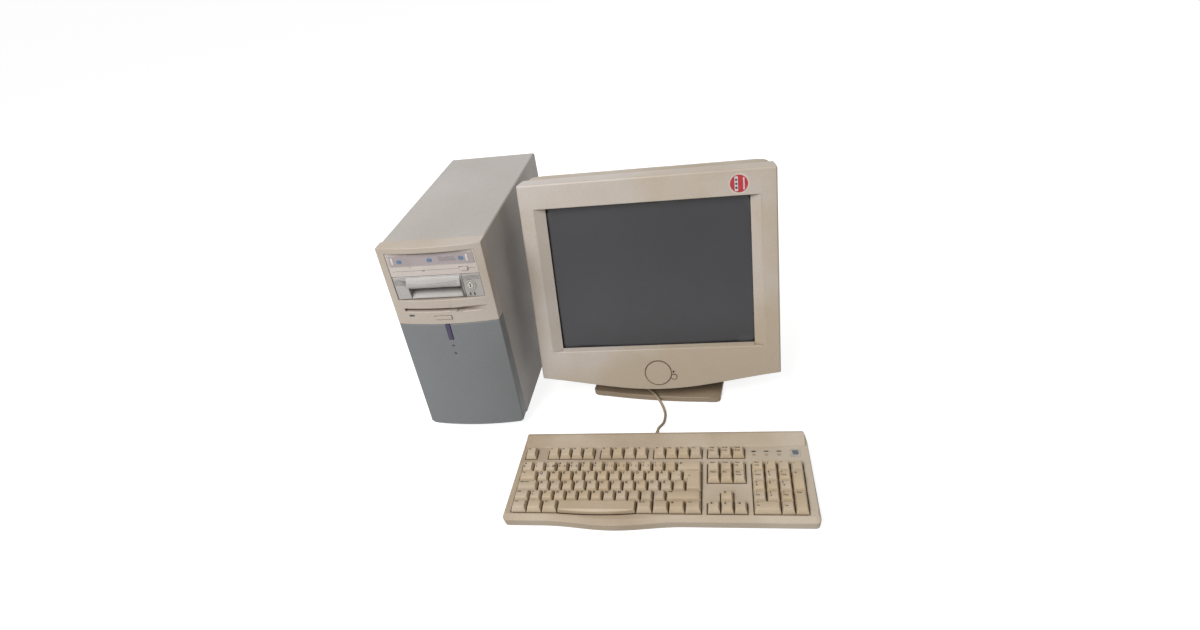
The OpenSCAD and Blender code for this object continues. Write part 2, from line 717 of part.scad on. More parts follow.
module rack_lock() color(steel) at_tower() difference() {
    rod_y(lock_at[0], lock_at[1], lock_r, drive_face_y - 1.6, 18);
    block([lock_at[0] - 0.6, drive_face_y - 2, lock_at[1] - 3.4],
          [lock_at[0] + 0.6, drive_face_y + 4, lock_at[1] + 3.4]);
}

module rack_drawer() color(silver) at_tower() difference() {
    union() {
        block([drawer_x, drive_face_y, rack_z + seam], [drawer_edge, drive_back_y, cd_z - seam]);
        // rounded lip that the fingers pull on
        along_x(grip_x[0] - 2, grip_x[1] + 2)
            polygon([[drive_face_y + 1, lip_z[1]], [drive_face_y, lip_z[1]],
                     [drive_face_y - lip_out * 0.55, lip_z[1] - 6],
                     [drive_face_y - lip_out, lip_z[0] + 4], [drive_face_y - lip_out, lip_z[0]],
                     [drive_face_y + 1, lip_z[0]]]);
        // box around the finger recess
        block([grip_x[0] - 3, drive_back_y - 0.1, rack_z + 3.4],
              [grip_x[1] + 3, drive_face_y + grip_depth + 2.5, grip_z[1] + 3]);
        // tray: floor, sides and back
        block([drive_x + rack_wall + slip, drive_back_y - 0.1, rack_z + 0.8 + rack_wall + slip],
              [drawer_edge - rack_wall - slip, disk_y + disk[1] + 9, rack_z + 0.8 + rack_wall + 2.3]);
        for (x = [drive_x + rack_wall + slip, drawer_edge - rack_wall - slip - 1.6])
            block([x, drive_back_y - 0.1, rack_z + 0.8 + rack_wall + slip],
                  [x + 1.6, disk_y + disk[1] + 9, cd_z - 6]);
        block([drive_x + rack_wall + slip, disk_y + disk[1] + 7, rack_z + 0.8 + rack_wall + slip],
              [drawer_edge - rack_wall - slip, disk_y + disk[1] + 9, cd_z - 6]);
    }
    // finger recess, deepest under the lip
    along_x(grip_x[0], grip_x[1])
        polygon([[drive_face_y - over, grip_z[0]], [drive_face_y, grip_z[0]],
                 [drive_face_y + grip_depth, grip_z[1] - 7], [drive_face_y + grip_depth, grip_z[1]],
                 [drive_face_y - over, grip_z[1]]]);
}

module hard_disk() color("#8c8f92") at_tower() {
    x = (drive_x + rack_wall + drawer_edge - rack_wall) / 2 - disk[0] / 2;
    z = rack_z + 0.8 + rack_wall + 2.3;
    translate([x, disk_y, z]) {
        block([0, 0, 2], [disk[0], disk[1], disk[2] - 4]);
        block([4, 3, disk[2] - 4], [disk[0] - 4, disk[1] - 12, disk[2]]);
        block([2, 2, 0], [disk[0] - 2, disk[1] - 14, 2]);
    }
}

module floppy_drive() color(steel) at_tower() {
    difference() {
        translate([floppy_x, floppy_y, floppy_z]) cube(floppy);
        // space for the disk, in line with the slot
        block([slot_x + 0.5, floppy_y - over, slot_z + 0.4],
              [slot_x + slot_w - 0.5, floppy_y + 100, slot_z + slot_h - 0.6]);
        block([floppy_button_at[0] - floppy_button[0] / 2 - 0.6, floppy_y - over,
               floppy_button_at[1] - floppy_button[1] / 2 - 0.6],
              [floppy_button_at[0] + floppy_button[0] / 2 + 0.6, floppy_y + 9,
               floppy_button_at[1] + floppy_button[1] / 2 + 0.6]);
    }
    // lamp that looks through the front
    block([floppy_lamp_at[0] - floppy_lamp[0] / 2, -4.4, floppy_lamp_at[1] - floppy_lamp[1] / 2],
          [floppy_lamp_at[0] + floppy_lamp[0] / 2, floppy_y + 0.1,
           floppy_lamp_at[1] + floppy_lamp[1] / 2]);
}

module floppy_eject_button() color(beige) at_tower()
    block([floppy_button_at[0] - floppy_button[0] / 2, -front_bow - 1.4,
           floppy_button_at[1] - floppy_button[1] / 2],
          [floppy_button_at[0] + floppy_button[0] / 2, floppy_y + 2,
           floppy_button_at[1] + floppy_button[1] / 2]);

module floppy_flap() color(beige) at_tower() {
    block([slot_x + 0.4, flap_y, slot_z + slip], [slot_x + slot_w - 0.4, flap_y + flap_t, flap_pin_z]);
    rod_x(flap_y + flap_t / 2, flap_pin_z, flap_pin_r, slot_x - 2, slot_x + slot_w + 2);
}

// Rotor of an axial fan, its axis along z, its hub open at the bottom for the shaft
module rotor(r_tip, r_hub, depth, blades, shaft_r) {
    difference() {
        cylinder(r = r_hub, h = depth);
        translate([0, 0, -over]) cylinder(r = shaft_r + turn, h = depth - 2 + over, $fn = 24);
    }
    for (i = [0 : blades - 1]) rotate(i * 360 / blades) intersection() {
        difference() {
            translate([0, 0, 0.5]) cylinder(r = r_tip, h = depth - 1);
            translate([0, 0, -over]) cylinder(r = r_hub - 0.5, h = depth + 2 * over);
        }
        translate([(r_hub + r_tip) / 2, 0, depth / 2]) rotate([38, 0, 0])
            cube([r_tip, 1.4, 2 * depth], center = true);
    }
}

module power_supply() color(steel) at_tower() {
    difference() {
        translate([supply_x, supply_y, supply_z]) cube(supply);
        block([supply_x + supply_wall, supply_y + supply_wall, supply_z + supply_wall],
              [supply_x + supply[0] - supply_wall, rear_y - supply_wall,
               supply_z + supply[2] - supply_wall]);
        rod_y(fan_at[0], fan_at[1], fan_r + 1, rear_y - supply_wall - over, rear_y + over);
        block([inlet_at[0] - inlet[0] / 2 - 1, rear_y - supply_wall - over,
               inlet_at[1] - inlet[1] / 2 - 1],
              [inlet_at[0] + inlet[0] / 2 + 1, rear_y + over, inlet_at[1] + inlet[1] / 2 + 1]);
        for (i = [0 : 11]) block([supply_x + 14 + 10 * i, supply_y - over, supply_z + 20],
                                 [supply_x + 18 + 10 * i, supply_y + supply_wall + over,
                                  supply_z + supply[2] - 20]);
    }
    // wire guard over the fan
    translate([fan_at[0], rear_y, fan_at[1]]) rotate([90, 0, 0]) {
        for (r = [12, 21, 30]) rotate_extrude() translate([r, 0]) circle(0.9, $fn = 16);
        for (a = [45, 135]) rotate(a) translate([0, 0, 1.4]) cube([2 * fan_r + 4, 1.6, 1.6], center = true);
    }
    // fan frame with the motor's shaft
    difference() {
        block([fan_at[0] - 40, rear_y - supply_wall - fan_depth, fan_at[1] - 40],
              [fan_at[0] + 40, rear_y - supply_wall, fan_at[1] + 40]);
        rod_y(fan_at[0], fan_at[1], fan_r + 1, rear_y - supply_wall - fan_depth - over, rear_y);
    }
    rod_y(fan_at[0], fan_at[1], 14, rear_y - supply_wall - fan_depth, rear_y - supply_wall - fan_depth + 4);
    rod_y(fan_at[0], fan_at[1], 1.5, rear_y - supply_wall - fan_depth + 3, rear_y - supply_wall - 7);
    for (a = [0, 90]) translate([fan_at[0], rear_y - supply_wall - fan_depth + 1.5, fan_at[1]])
        rotate([0, a + 20, 0]) cube([2 * fan_r + 3, 3, 4], center = true);
    // mains inlet with its three pins
    difference() {
        block([inlet_at[0] - inlet[0] / 2 - 1, rear_y - inlet[2] - 2, inlet_at[1] - inlet[1] / 2 - 1],
              [inlet_at[0] + inlet[0] / 2 + 1, rear_y, inlet_at[1] + inlet[1] / 2 + 1]);
        block([inlet_at[0] - inlet[0] / 2 + 1, rear_y - inlet[2], inlet_at[1] - inlet[1] / 2 + 1],
              [inlet_at[0] + inlet[0] / 2 - 1, rear_y + over, inlet_at[1] + inlet[1] / 2 - 1]);
    }
    for (p = [[-7, -2], [0, 3], [7, -2]])
        block([inlet_at[0] + p[0] - 1, rear_y - inlet[2] - 0.1, inlet_at[1] + p[1] - 2],
              [inlet_at[0] + p[0] + 1, rear_y - 6, inlet_at[1] + p[1] + 2]);
    // transformer and capacitors
    block([supply_x + 20, supply_y + 30, supply_z + supply_wall - 0.1],
          [supply_x + 60, supply_y + 70, supply_z + 40]);
    for (i = [0, 1]) translate([supply_x + 90 + 30 * i, supply_y + 50, supply_z + supply_wall - 0.1])
        cylinder(r = 12, h = 45);
}

module psu_fan() color(dark) at_tower()
    translate([fan_at[0], rear_y - supply_wall - fan_depth + 4.3, fan_at[1]]) rotate([-90, 0, 0])
    rotor(fan_r - 1, 14.5, fan_depth - 7, 7, 1.5);

module motherboard() color(board_green) at_tower() {
    block([board_x, board_y, board_z], [board_x + board_t, board_y + board[0], board_z + board[1]]);
    // processor socket, card slots, memory, chips
    block([board_x - socket_h, cpu_at[0] - 25, cpu_at[1] - 25],
          [board_x + 0.1, cpu_at[0] + 25, cpu_at[1] + 25]);
    for (i = [-1, 1, 2]) block([board_x - 11, board_y + 60, board_z + 42 + 20.32 * i - 1.6],
                                  [board_x + 0.1, board_y + 145, board_z + 42 + 20.32 * i + 6.4]);
    top = board_z + board[1];
    for (y = [board_y + 12, board_y + 24]) block([board_x - 34, y, top - 150],
                                                 [board_x + 0.1, y + 4, top - 18]);
    block([board_x - 3, board_y + 60, top - 154], [board_x + 0.1, board_y + 95, top - 119]);
    for (i = [0 : 3]) translate([board_x - 14, board_y + 140 + 9 * i, top - 28])
        rotate([0, 90, 0]) cylinder(r = 4, h = 14.1, $fn = 24);
    // rear ports
    for (p = PORTS) block([board_x - p[3], rear_y - 16, port_z + p[0]],
                          [board_x - p[3] + p[1], rear_y + sheet_t + 2, port_z + p[0] + p[2]]);
    block([board_x - 14, rear_y - 16, port_z + 8], [board_x + 0.1, rear_y - 4, port_z + 148]);
}

module cpu_heatsink() color("#a9adb0") at_tower() {
    x = board_x - socket_h;
    translate([x - sink[2], cpu_at[0] - sink[0] / 2, cpu_at[1] - sink[0] / 2])
        cube([sink[2], sink[0], sink[0]]);
    for (i = [0 : fin_count - 1])
        translate([x - sink[2] - sink[1], cpu_at[0] - sink[0] / 2 + i * (sink[0] - 1.4) / (fin_count - 1),
                   cpu_at[1] - sink[0] / 2])
        cube([sink[1] + 0.1, 1.4, sink[0]]);
    // fan frame on the fins
    translate([x - sink[2] - sink[1] - 15, cpu_at[0], cpu_at[1]]) rotate([0, 90, 0]) {
        difference() {
            translate([-30, -30, 0]) cube([60, 60, 15]);
            translate([0, 0, -over]) cylinder(r = cpu_fan_r + 1, h = 15 + 2 * over);
        }
        for (a = [30, 120]) rotate(a) translate([0, 0, 13.5]) cube([2 * cpu_fan_r + 3, 3, 3], center = true);
        translate([0, 0, 12]) cylinder(r = 11, h = 3);
        translate([0, 0, 3]) cylinder(r = 1.5, h = 10, $fn = 24);
    }
}

module cpu_fan() color(dark) at_tower()
    translate([board_x - socket_h - sink[2] - sink[1] - 3.3, cpu_at[0], cpu_at[1]])
    rotate([0, -90, 0]) rotor(cpu_fan_r, 11.5, 11, 7, 1.5);

module expansion_card() color(board_green) at_tower() {
    block([board_x - card[0], rear_y - 3 - card[1], card_z],
          [board_x - 3, rear_y - 2, card_z + board_t]);
    // edge that stands in a slot of the main board
    block([board_x - 11.2, rear_y - 3 - card[1] + 10, card_z], [board_x - 1, rear_y - 60, card_z + board_t]);
    block([board_x - 60, rear_y - 70, card_z + board_t - 0.1], [board_x - 35, rear_y - 45, card_z + 5]);
    // bracket and its socket
    block([board_x - card[0] - 8, rear_y - 1, card_z - 8], [board_x - 4, rear_y, card_z + 10]);
    block([board_x - card[0] + 2, rear_y - 2.1, card_z - 1], [board_x - 4, rear_y - 0.9, card_z + 3]);
    block([board_x - 62, rear_y - 14, card_z - 0.5 + board_t], [board_x - 30, rear_y + 5, card_z + 6.5]);
}

module tower_feet() color(dark) at_tower()
    for (x = [22, tower_w - 22], y = [45, tower_d - 35])
        translate([x, y, 0]) cylinder(r = foot_r, h = foot_h);

module tower_screws() color(silver) at_tower()
    for (x = [6.5, tower_w - 6.5], z = [40, 190, 330]) rod_y(x, z, 3.6, tower_d, tower_d + 2.4);

// ---------------------------------------------------------------- monitor

// Sag of the surround's lower edge at a place from -1 to 1 across it
function chin(u) = -chin_drop * ((1 - u * u) + (0.5 + 0.5 * cos(180 * u))) / 2;

// Front outline of the surround, in x and z
module surround_outline(inset) {
    steps = 24;
    w = half_w - inset;
    top = monitor_h + top_rise - inset;
    r = top_corner_r;
    polygon(concat(
        [for (i = [0 : steps]) let (u = 2 * i / steps - 1) [w * u, chin(u) + inset]],
        [[w, top - r], [w - r, top - r], [w - r, top], [r - w, top], [r - w, top - r], [-w, top - r]]
    ));
    for (s = [-1, 1]) translate([s * (w - r), top - r]) circle(r);
}

module monitor_bezel() color(beige) at_monitor() difference() {
    union() {
        difference() {
            intersection() {
                along_y(0, surround_depth) surround_outline(0);
                // the top climbs and the sides close in towards the back
                along_x(-half_w - over, half_w + over)
                    polygon([[0, -chin_drop - over], [surround_depth, -chin_drop - over],
                             [surround_depth, monitor_h + top_rise], [3, monitor_h],
                             [0.8, monitor_h - 0.8], [0, monitor_h - 3]]);
                translate([0, 0, -chin_drop - over]) linear_extrude(monitor_h + 2 * chin_drop)
                    polygon([[-half_w + 2, 0], [-half_w, 2], [-half_w + side_taper, surround_depth],
                             [half_w - side_taper, surround_depth], [half_w, 2], [half_w - 2, 0]]);
            }
            // one hollow that runs round the opening, open at the back
            along_y(4, surround_depth + over) difference() {
                surround_outline(side_taper + 3);
                translate([-screen_w / 2 - cheek_w - 3, screen_z - tube_room - 3])
                    square([screen_w + 2 * cheek_w + 6, screen_h + 2 * tube_room + 6]);
            }
        }
        // seats of the dial, the button and the lamp
        rod_y(dial_at[0], dial_at[1], dial_r + 3.5, 1, 13);
        rod_y(button_at[0], button_at[1], monitor_button_r + 2.4, 1, 13);
        rod_y(lamp_at[0], lamp_at[1], 3, 1, 13);
        // posts that the tube's lugs are screwed to
        for (sx = [-1, 1], sz = [-1, 1])
            rod_y(sx * post_x, screen_mid + sz * post_z, 5, 3, lug_y);
    }
    // opening, sloping flanks and sill
    block([-screen_w / 2, -over, screen_z], [screen_w / 2, surround_depth + over, screen_top]);
    block([-screen_w / 2 - tube_room, screen_recess + 1.5, screen_z - tube_room],
          [screen_w / 2 + tube_room, surround_depth + over, screen_top + tube_room]);
    for (sx = [-1, 1], sz = [-1, 1])
        block([sx > 0 ? screen_w / 2 : -post_x - 5 - slip, lug_y, screen_mid + sz * post_z - 6 - slip],
              [sx > 0 ? post_x + 5 + slip : -screen_w / 2, surround_depth + over,
               screen_mid + sz * post_z + 6 + slip]);
    for (s = [0, 1]) mirror([s, 0, 0]) translate([0, 0, screen_z - sill_h])
        linear_extrude(screen_h + sill_h)
        polygon([[screen_w / 2 - over, -over], [screen_w / 2 - over, screen_recess],
                 [screen_w / 2, screen_recess], [screen_w / 2 + cheek_w, 0],
                 [screen_w / 2 + cheek_w, -over]]);
    along_x(-screen_w / 2, screen_w / 2)
        polygon([[-over, screen_z - sill_h], [0, screen_z - sill_h], [screen_recess, screen_z],
                 [screen_recess, screen_z + over], [-over, screen_z + over]]);
    // dial, button and lamp
    rod_y(dial_at[0], dial_at[1], dial_r + dial_gap, -over, dial_t + 1);
    rod_y(dial_at[0], dial_at[1], dial_shaft_r + turn, 0, 18);
    rod_y(button_at[0], button_at[1], monitor_button_r + slip, -over, 18);
    rod_y(lamp_at[0], lamp_at[1], lamp_r + turn, -over, 18);
}

module menu_dial() color(beige) at_monitor() {
    rod_y(dial_at[0], dial_at[1], dial_r, -0.8, dial_t);
    rod_y(dial_at[0], dial_at[1], dial_shaft_r, dial_t - 1, 16);
}

module monitor_power_button() color(beige) at_monitor()
    rod_y(button_at[0], button_at[1], monitor_button_r, -1.2, 15);

module monitor_led() color("#3c4a35") at_monitor() rod_y(lamp_at[0], lamp_at[1], lamp_r, -0.3, 15);

// Cross-section of the rear housing at a depth, as a ring of points, set in by a wall
function past_collar(y) = ease((y - housing_front - collar_depth) / (tail_start - housing_front - collar_depth));
function housing_w(y) = (collar_w + (tail_w - collar_w) * past_collar(y)) / 2;
function housing_top(y) = collar_z[1] + 2 * ease((y - housing_front) / collar_depth)
    + (tail_z[1] - collar_z[1] - 2) * past_collar(y);
function housing_low(y) = collar_z[0] + (belly_z - collar_z[0]) * ease((y - housing_front) / collar_depth)
    + (tail_z[0] - belly_z) * ease((y - belly_start) / (monitor_d - belly_start));
function housing_corner(y) = 14 + 14 * ease((y - housing_front) / 150);
function housing_ring(y, wall) = let (
    w = housing_w(y) - wall, top = housing_top(y) - wall, low = housing_low(y) + wall,
    r = housing_corner(y) - wall * 0.6
) [
    for (q = [0 : 3], k = [0 : 5]) let (
        a = -90 * q - 18 * k,
        cx = (q == 0 || q == 3) ? w - r : r - w,
        cz = q < 2 ? low + r : top - r
    ) [cx + r * cos(a), y, cz + r * sin(a)]
];
module housing_loft(y0, y1, wall)
    skin([for (u = [0, 0.05, 0.13, 0.22, 0.31, 0.4, 0.49, 0.58, 0.67, 0.8, 1])
          housing_ring(y0 + (y1 - y0) * u, wall)]);

// A cooling slot with round ends, cut along z or along x
module slot_down(x, y0, y1) hull() for (y = [y0, y1])
    translate([x, y, screen_mid]) cylinder(r = vent_r, h = monitor_h, $fn = 8);
module slot_across(y, z0, z1, s) hull() for (z = [z0, z1])
    translate([0, y, z]) rotate([0, s * 90, 0]) cylinder(r = vent_r, h = half_w, $fn = 8);

module monitor_housing() color(pale_beige) at_monitor() {
    difference() {
        housing_loft(housing_front, monitor_d, 0);
        housing_loft(housing_front - over, monitor_d - housing_wall, housing_wall);
        // cooling slots: two rows on top, one down each side
        for (i = [-4 : 4]) slot_down(20 * i, 222, 282);
        for (i = [-3 : 3]) slot_down(20 * i, 325, 390);
        for (s = [-1, 1], i = [0 : 4]) slot_across(325 + 15 * i, 150, 220, s);
        // cut-outs for the sockets
        block([video_at[0] - 19, monitor_d - housing_wall - over, video_at[1] - 8],
              [video_at[0] + 19, monitor_d + over, video_at[1] + 8]);
        block([mains_at[0] - inlet[0] / 2 - 1.5, monitor_d - housing_wall - over,
               mains_at[1] - inlet[1] / 2 - 1.5],
              [mains_at[0] + inlet[0] / 2 + 1.5, monitor_d + over,
               mains_at[1] + inlet[1] / 2 + 1.5]);
    }
    // part of a ball that rests in the swivel disc
    difference() {
        intersection() {
            translate([0, ball_d, ball_h]) sphere(r = ball_r, $fn = 56);
            block([-ball_r, housing_front + 2, -ball_r], [ball_r, ball_d + ball_r, belly_z + 1.5]);
        }
        translate([0, ball_d, ball_h]) sphere(r = ball_r - housing_wall - 1, $fn = 32);
    }
    // rails that the circuit board stands on
    for (x = [-115, 115]) block([x - 1.5, board_front + 6, belly_z + 1],
                                [x + 1.5, board_back - 8, board_level]);
}

module picture_tube() color("#4a4b50") at_monitor() translate([0, 0, screen_mid]) {
    face_y = screen_recess + 2;
    difference() {
        intersection() {
            along_y(face_y - over, face_y + skirt_depth) round_rect(glass[0], glass[1], glass_r);
            translate([0, face_y + face_r, 0]) sphere(r = face_r, $fn = 300);
        }
        along_y(face_y + face_t + 10, face_y + skirt_depth + over)
            round_rect(glass[0] - 2 * funnel_t, glass[1] - 2 * funnel_t, glass_r - funnel_t);
    }
    // funnel, cone and neck
    difference() {
        hull() {
            along_y(face_y + skirt_depth - 0.1, face_y + skirt_depth) square(glass - [30, 30], center = true);
            along_y(face_y + skirt_depth - 0.1, face_y + skirt_depth)
                round_rect(glass[0], glass[1] - 50, 30, $fn = 24);
            along_y(cone_y - 1, cone_y) circle(cone_r, $fn = 32);
        }
        hull() {
            along_y(face_y + skirt_depth - 1, face_y + skirt_depth - 0.1)
                square(glass - [30 + 2 * funnel_t, 30 + 2 * funnel_t], center = true);
            along_y(cone_y - 1, cone_y + 1) circle(cone_r - funnel_t, $fn = 32);
        }
    }
    difference() {
        translate([0, cone_y - 0.5, 0]) rotate([-90, 0, 0])
            cylinder(r1 = cone_r - 1, r2 = neck_r, h = neck_y - cone_y + 0.5);
        translate([0, cone_y - 1, 0]) rotate([-90, 0, 0])
            cylinder(r1 = cone_r - funnel_t - 1, r2 = neck_r - 3, h = neck_y - cone_y + 1);
    }
    rod_y(0, 0, neck_r, neck_y - 0.1, neck_end);
}

module tube_band() color(steel) at_monitor() translate([0, 0, screen_mid]) difference() {
    union() {
        along_y(lug_y, lug_y + 22)
            round_rect(glass[0] + 2 * seam + 2 * band_t, glass[1] + 2 * seam + 2 * band_t, glass_r + band_t);
        // lugs for the four screws
        for (sx = [-1, 1], sz = [-1, 1])
            block([sx > 0 ? glass[0] / 2 - glass_r : -post_x - 5, lug_y, sz * post_z - 6],
                  [sx > 0 ? post_x + 5 : glass_r - glass[0] / 2, lug_y + 2.5, sz * post_z + 6]);
    }
    along_y(lug_y - over, lug_y + 22 + over) round_rect(glass[0] + 2 * seam, glass[1] + 2 * seam, glass_r);
}

module deflection_yoke() color("#8a4b2a") at_monitor()
    translate([0, cone_y + 1, screen_mid]) rotate([-90, 0, 0]) rotate_extrude()
    polygon([[cone_r + 0.4, 0], [62, 0], [62, 6], [50, 12], [44, 34], [50, 40], [50, 44],
             [neck_r + 6, 44], [neck_r + 4.2, 43]]);

module monitor_board() color(board_green) at_monitor() {
    half_board = half_w - 83.5;
    block([-half_board, board_front, board_level], [half_board, board_back, board_level + board_t]);
    // line transformer, heat sinks and capacitors
    block([75, 145, board_level + board_t - 0.1], [112, 185, 80]);
    translate([93, 165, 79]) cylinder(r = 13, h = 8);
    for (x = [-90, -30]) block([x, 165, board_level + board_t - 0.1], [x + 45, 169, 72]);
    for (x = [-105, -85, 20, 45]) translate([x, 140, board_level + board_t - 0.1])
        cylinder(r = 8, h = 26);
    // sockets in the back of the tail, on their own small board
    block([-75, monitor_d - housing_wall - 12, 100], [75, monitor_d - housing_wall - 10.4, 142]);
    for (x = [-71, 0, 71]) block([x - 3, monitor_d - housing_wall - 10.5, 101],
                                 [x + 3, monitor_d - housing_wall, 107]);
    block([video_at[0] - 18, monitor_d - housing_wall - 11, video_at[1] - 7],
          [video_at[0] + 18, monitor_d - 1, video_at[1] + 7]);
    block([video_at[0] - 9, monitor_d - 1.1, video_at[1] - 4.5],
          [video_at[0] + 9, monitor_d + 0.5, video_at[1] + 4.5]);
    difference() {
        block([mains_at[0] - inlet[0] / 2 - 1, monitor_d - inlet[2] - 2, mains_at[1] - inlet[1] / 2 - 1],
              [mains_at[0] + inlet[0] / 2 + 1, monitor_d - 0.5, mains_at[1] + inlet[1] / 2 + 1]);
        block([mains_at[0] - inlet[0] / 2 + 1, monitor_d - inlet[2], mains_at[1] - inlet[1] / 2 + 1],
              [mains_at[0] + inlet[0] / 2 - 1, monitor_d + over, mains_at[1] + inlet[1] / 2 - 1]);
    }
    for (p = [[-7, -2], [0, 3], [7, -2]])
        block([mains_at[0] + p[0] - 1, monitor_d - inlet[2] - 0.1, mains_at[1] + p[1] - 2],
              [mains_at[0] + p[0] + 1, monitor_d - 6, mains_at[1] + p[1] + 2]);
}

module neck_board() color(board_green) at_monitor() translate([0, 0, screen_mid]) difference() {
    union() {
        along_y(neck_end - 12, neck_end - 12 + board_t) round_rect(84, 84, 4);
        rod_y(0, 0, 22, neck_end - 11, neck_end + 8);
    }
    rod_y(0, 0, neck_r + seam, neck_end - 13, neck_end + seam);
}

module monitor_screws() color(dark) at_monitor()
    for (x = [-86, 86], z = [tail_z[0] + 46, tail_z[1] - 22]) rod_y(x, z, 4, monitor_d, monitor_d + 2.2);

// Plan of the base: its front edge bows towards the user
module base_plan(inset) {
    bow = (pow(base_w / 2, 2) + pow(base_bow, 2)) / (2 * base_bow);
    translate([0, (base_d + base_bow) / 2])
        round_rect(base_w - 2 * inset, base_d - base_bow - 2 * inset, 6 - inset);
    intersection() {
        translate([-base_w / 2 + 6, inset]) square([base_w - 12, base_bow + 6]);
        translate([0, bow + inset]) circle(r = bow, $fn = 128);
    }
}

module pedestal_base() color(pale_beige) {
    at_base() difference() {
        intersection() {
            translate([0, 0, base_foot_h]) linear_extrude(base_top - base_foot_h) base_plan(0);
            along_x(-base_w / 2, base_w / 2)
                polygon([[0, 0], [0, base_edge_h], [base_bevel, base_top],
                         [base_d - base_bevel, base_top], [base_d, base_edge_h], [base_d, 0]]);
            along_y(0, base_d)
                polygon([[-base_w / 2, 0], [-base_w / 2, base_edge_h], [base_bevel - base_w / 2, base_top],
                         [base_w / 2 - base_bevel, base_top], [base_w / 2, base_edge_h], [base_w / 2, 0]]);
        }
        linear_extrude(base_edge_h - base_wall) base_plan(base_wall);
    }
    // pin that the swivel disc turns on
    at_origin() translate([monitor_x, ball_y, base_top - 0.1])
        cylinder(r = spigot_r, h = ball_z - ball_r - base_top - 0.5);
}

module swivel_disc() color(pale_beige) difference() {
    at_origin() translate([monitor_x, ball_y, disc_z]) {
        cylinder(r = disc_r, h = disc_h - 3);
        translate([0, 0, disc_h - 3]) cylinder(r1 = disc_r, r2 = disc_r - 8, h = 3);
    }
    at_ball() sphere(r = ball_r + seam, $fn = 96);
    at_origin() translate([monitor_x, ball_y, disc_z - over]) cylinder(r = spigot_r + turn, h = disc_h);
}

module pedestal_feet() color(dark) at_base()
    for (x = [-1, 1], y = [base_bow + 14, base_d - 14]) translate([x * (base_w / 2 - 14), y, 0])
        cylinder(r = 8, h = base_edge_h - base_wall);

// ---------------------------------------------------------------- keyboard

// Front edge of the case at a place across it, set back by a distance
function palm(x, back) = palm_y + back
    - palm_bulge * (abs(x - 155) < 105 ? 0.5 + 0.5 * cos(180 * (x - 155) / 105) : 0);

// Quarter circle of points
function corner(cx, cy, r, from) = [for (k = [0 : 4]) [cx + r * cos(from + 22.5 * k), cy + r * sin(from + 22.5 * k)]];

// Outline of the case: set in at the front, sides and back by three distances
function case_outline(front_in, side_in, back_in, r) = let (
    left = keyboard_mid - keyboard_w / 2 + side_in,
    right = keyboard_mid + keyboard_w / 2 - side_in,
    narrow = 2.5,
    back = keyboard_back - back_in,
    front = palm_y + front_in
) concat(
    corner(left + r, front + r, r, 180),
    [for (x = [45 : 10 : 265]) [x, palm(x, front_in)]],
    corner(right - r, front + r, r, 270),
    corner(right - narrow - r, back - r, r, 0),
    corner(left + narrow + r, back - r, r, 90)
);

function deck_height(y) = deck_z + y * deck_rise;

// Wells in the deck: x, y, width and depth of each group of keys
WELLS = concat(
    [[0, 0, 15 * pitch, 5 * pitch], [0, function_row, pitch, pitch]],
    [for (x = [2, 6.5, 11]) [x * pitch, function_row, 4 * pitch, pitch]],
    [[nav_x, function_row, 3 * pitch, pitch], [nav_x, rows[3], 3 * pitch, 2 * pitch],
     [nav_x, 0, 3 * pitch, pitch], [nav_x + pitch, 0, pitch, 2 * pitch],
     [pad_x, 0, 4 * pitch, 5 * pitch]]
);

// Plan of the space bar, with its front edge bowed towards the user
module space_plan(inset) {
    w = space_units * pitch - 2 * inset;
    bow = (pow(w / 2, 2) + pow(space_bulge, 2)) / (2 * space_bulge);
    translate([space_from * pitch + inset, inset]) square([w, pitch - 2 * inset]);
    intersection() {
        translate([space_from * pitch + inset, inset - space_bulge]) square([w, space_bulge + 1]);
        translate([(space_from + space_units / 2) * pitch, bow - space_bulge + inset]) circle(r = bow, $fn = 96);
    }
}

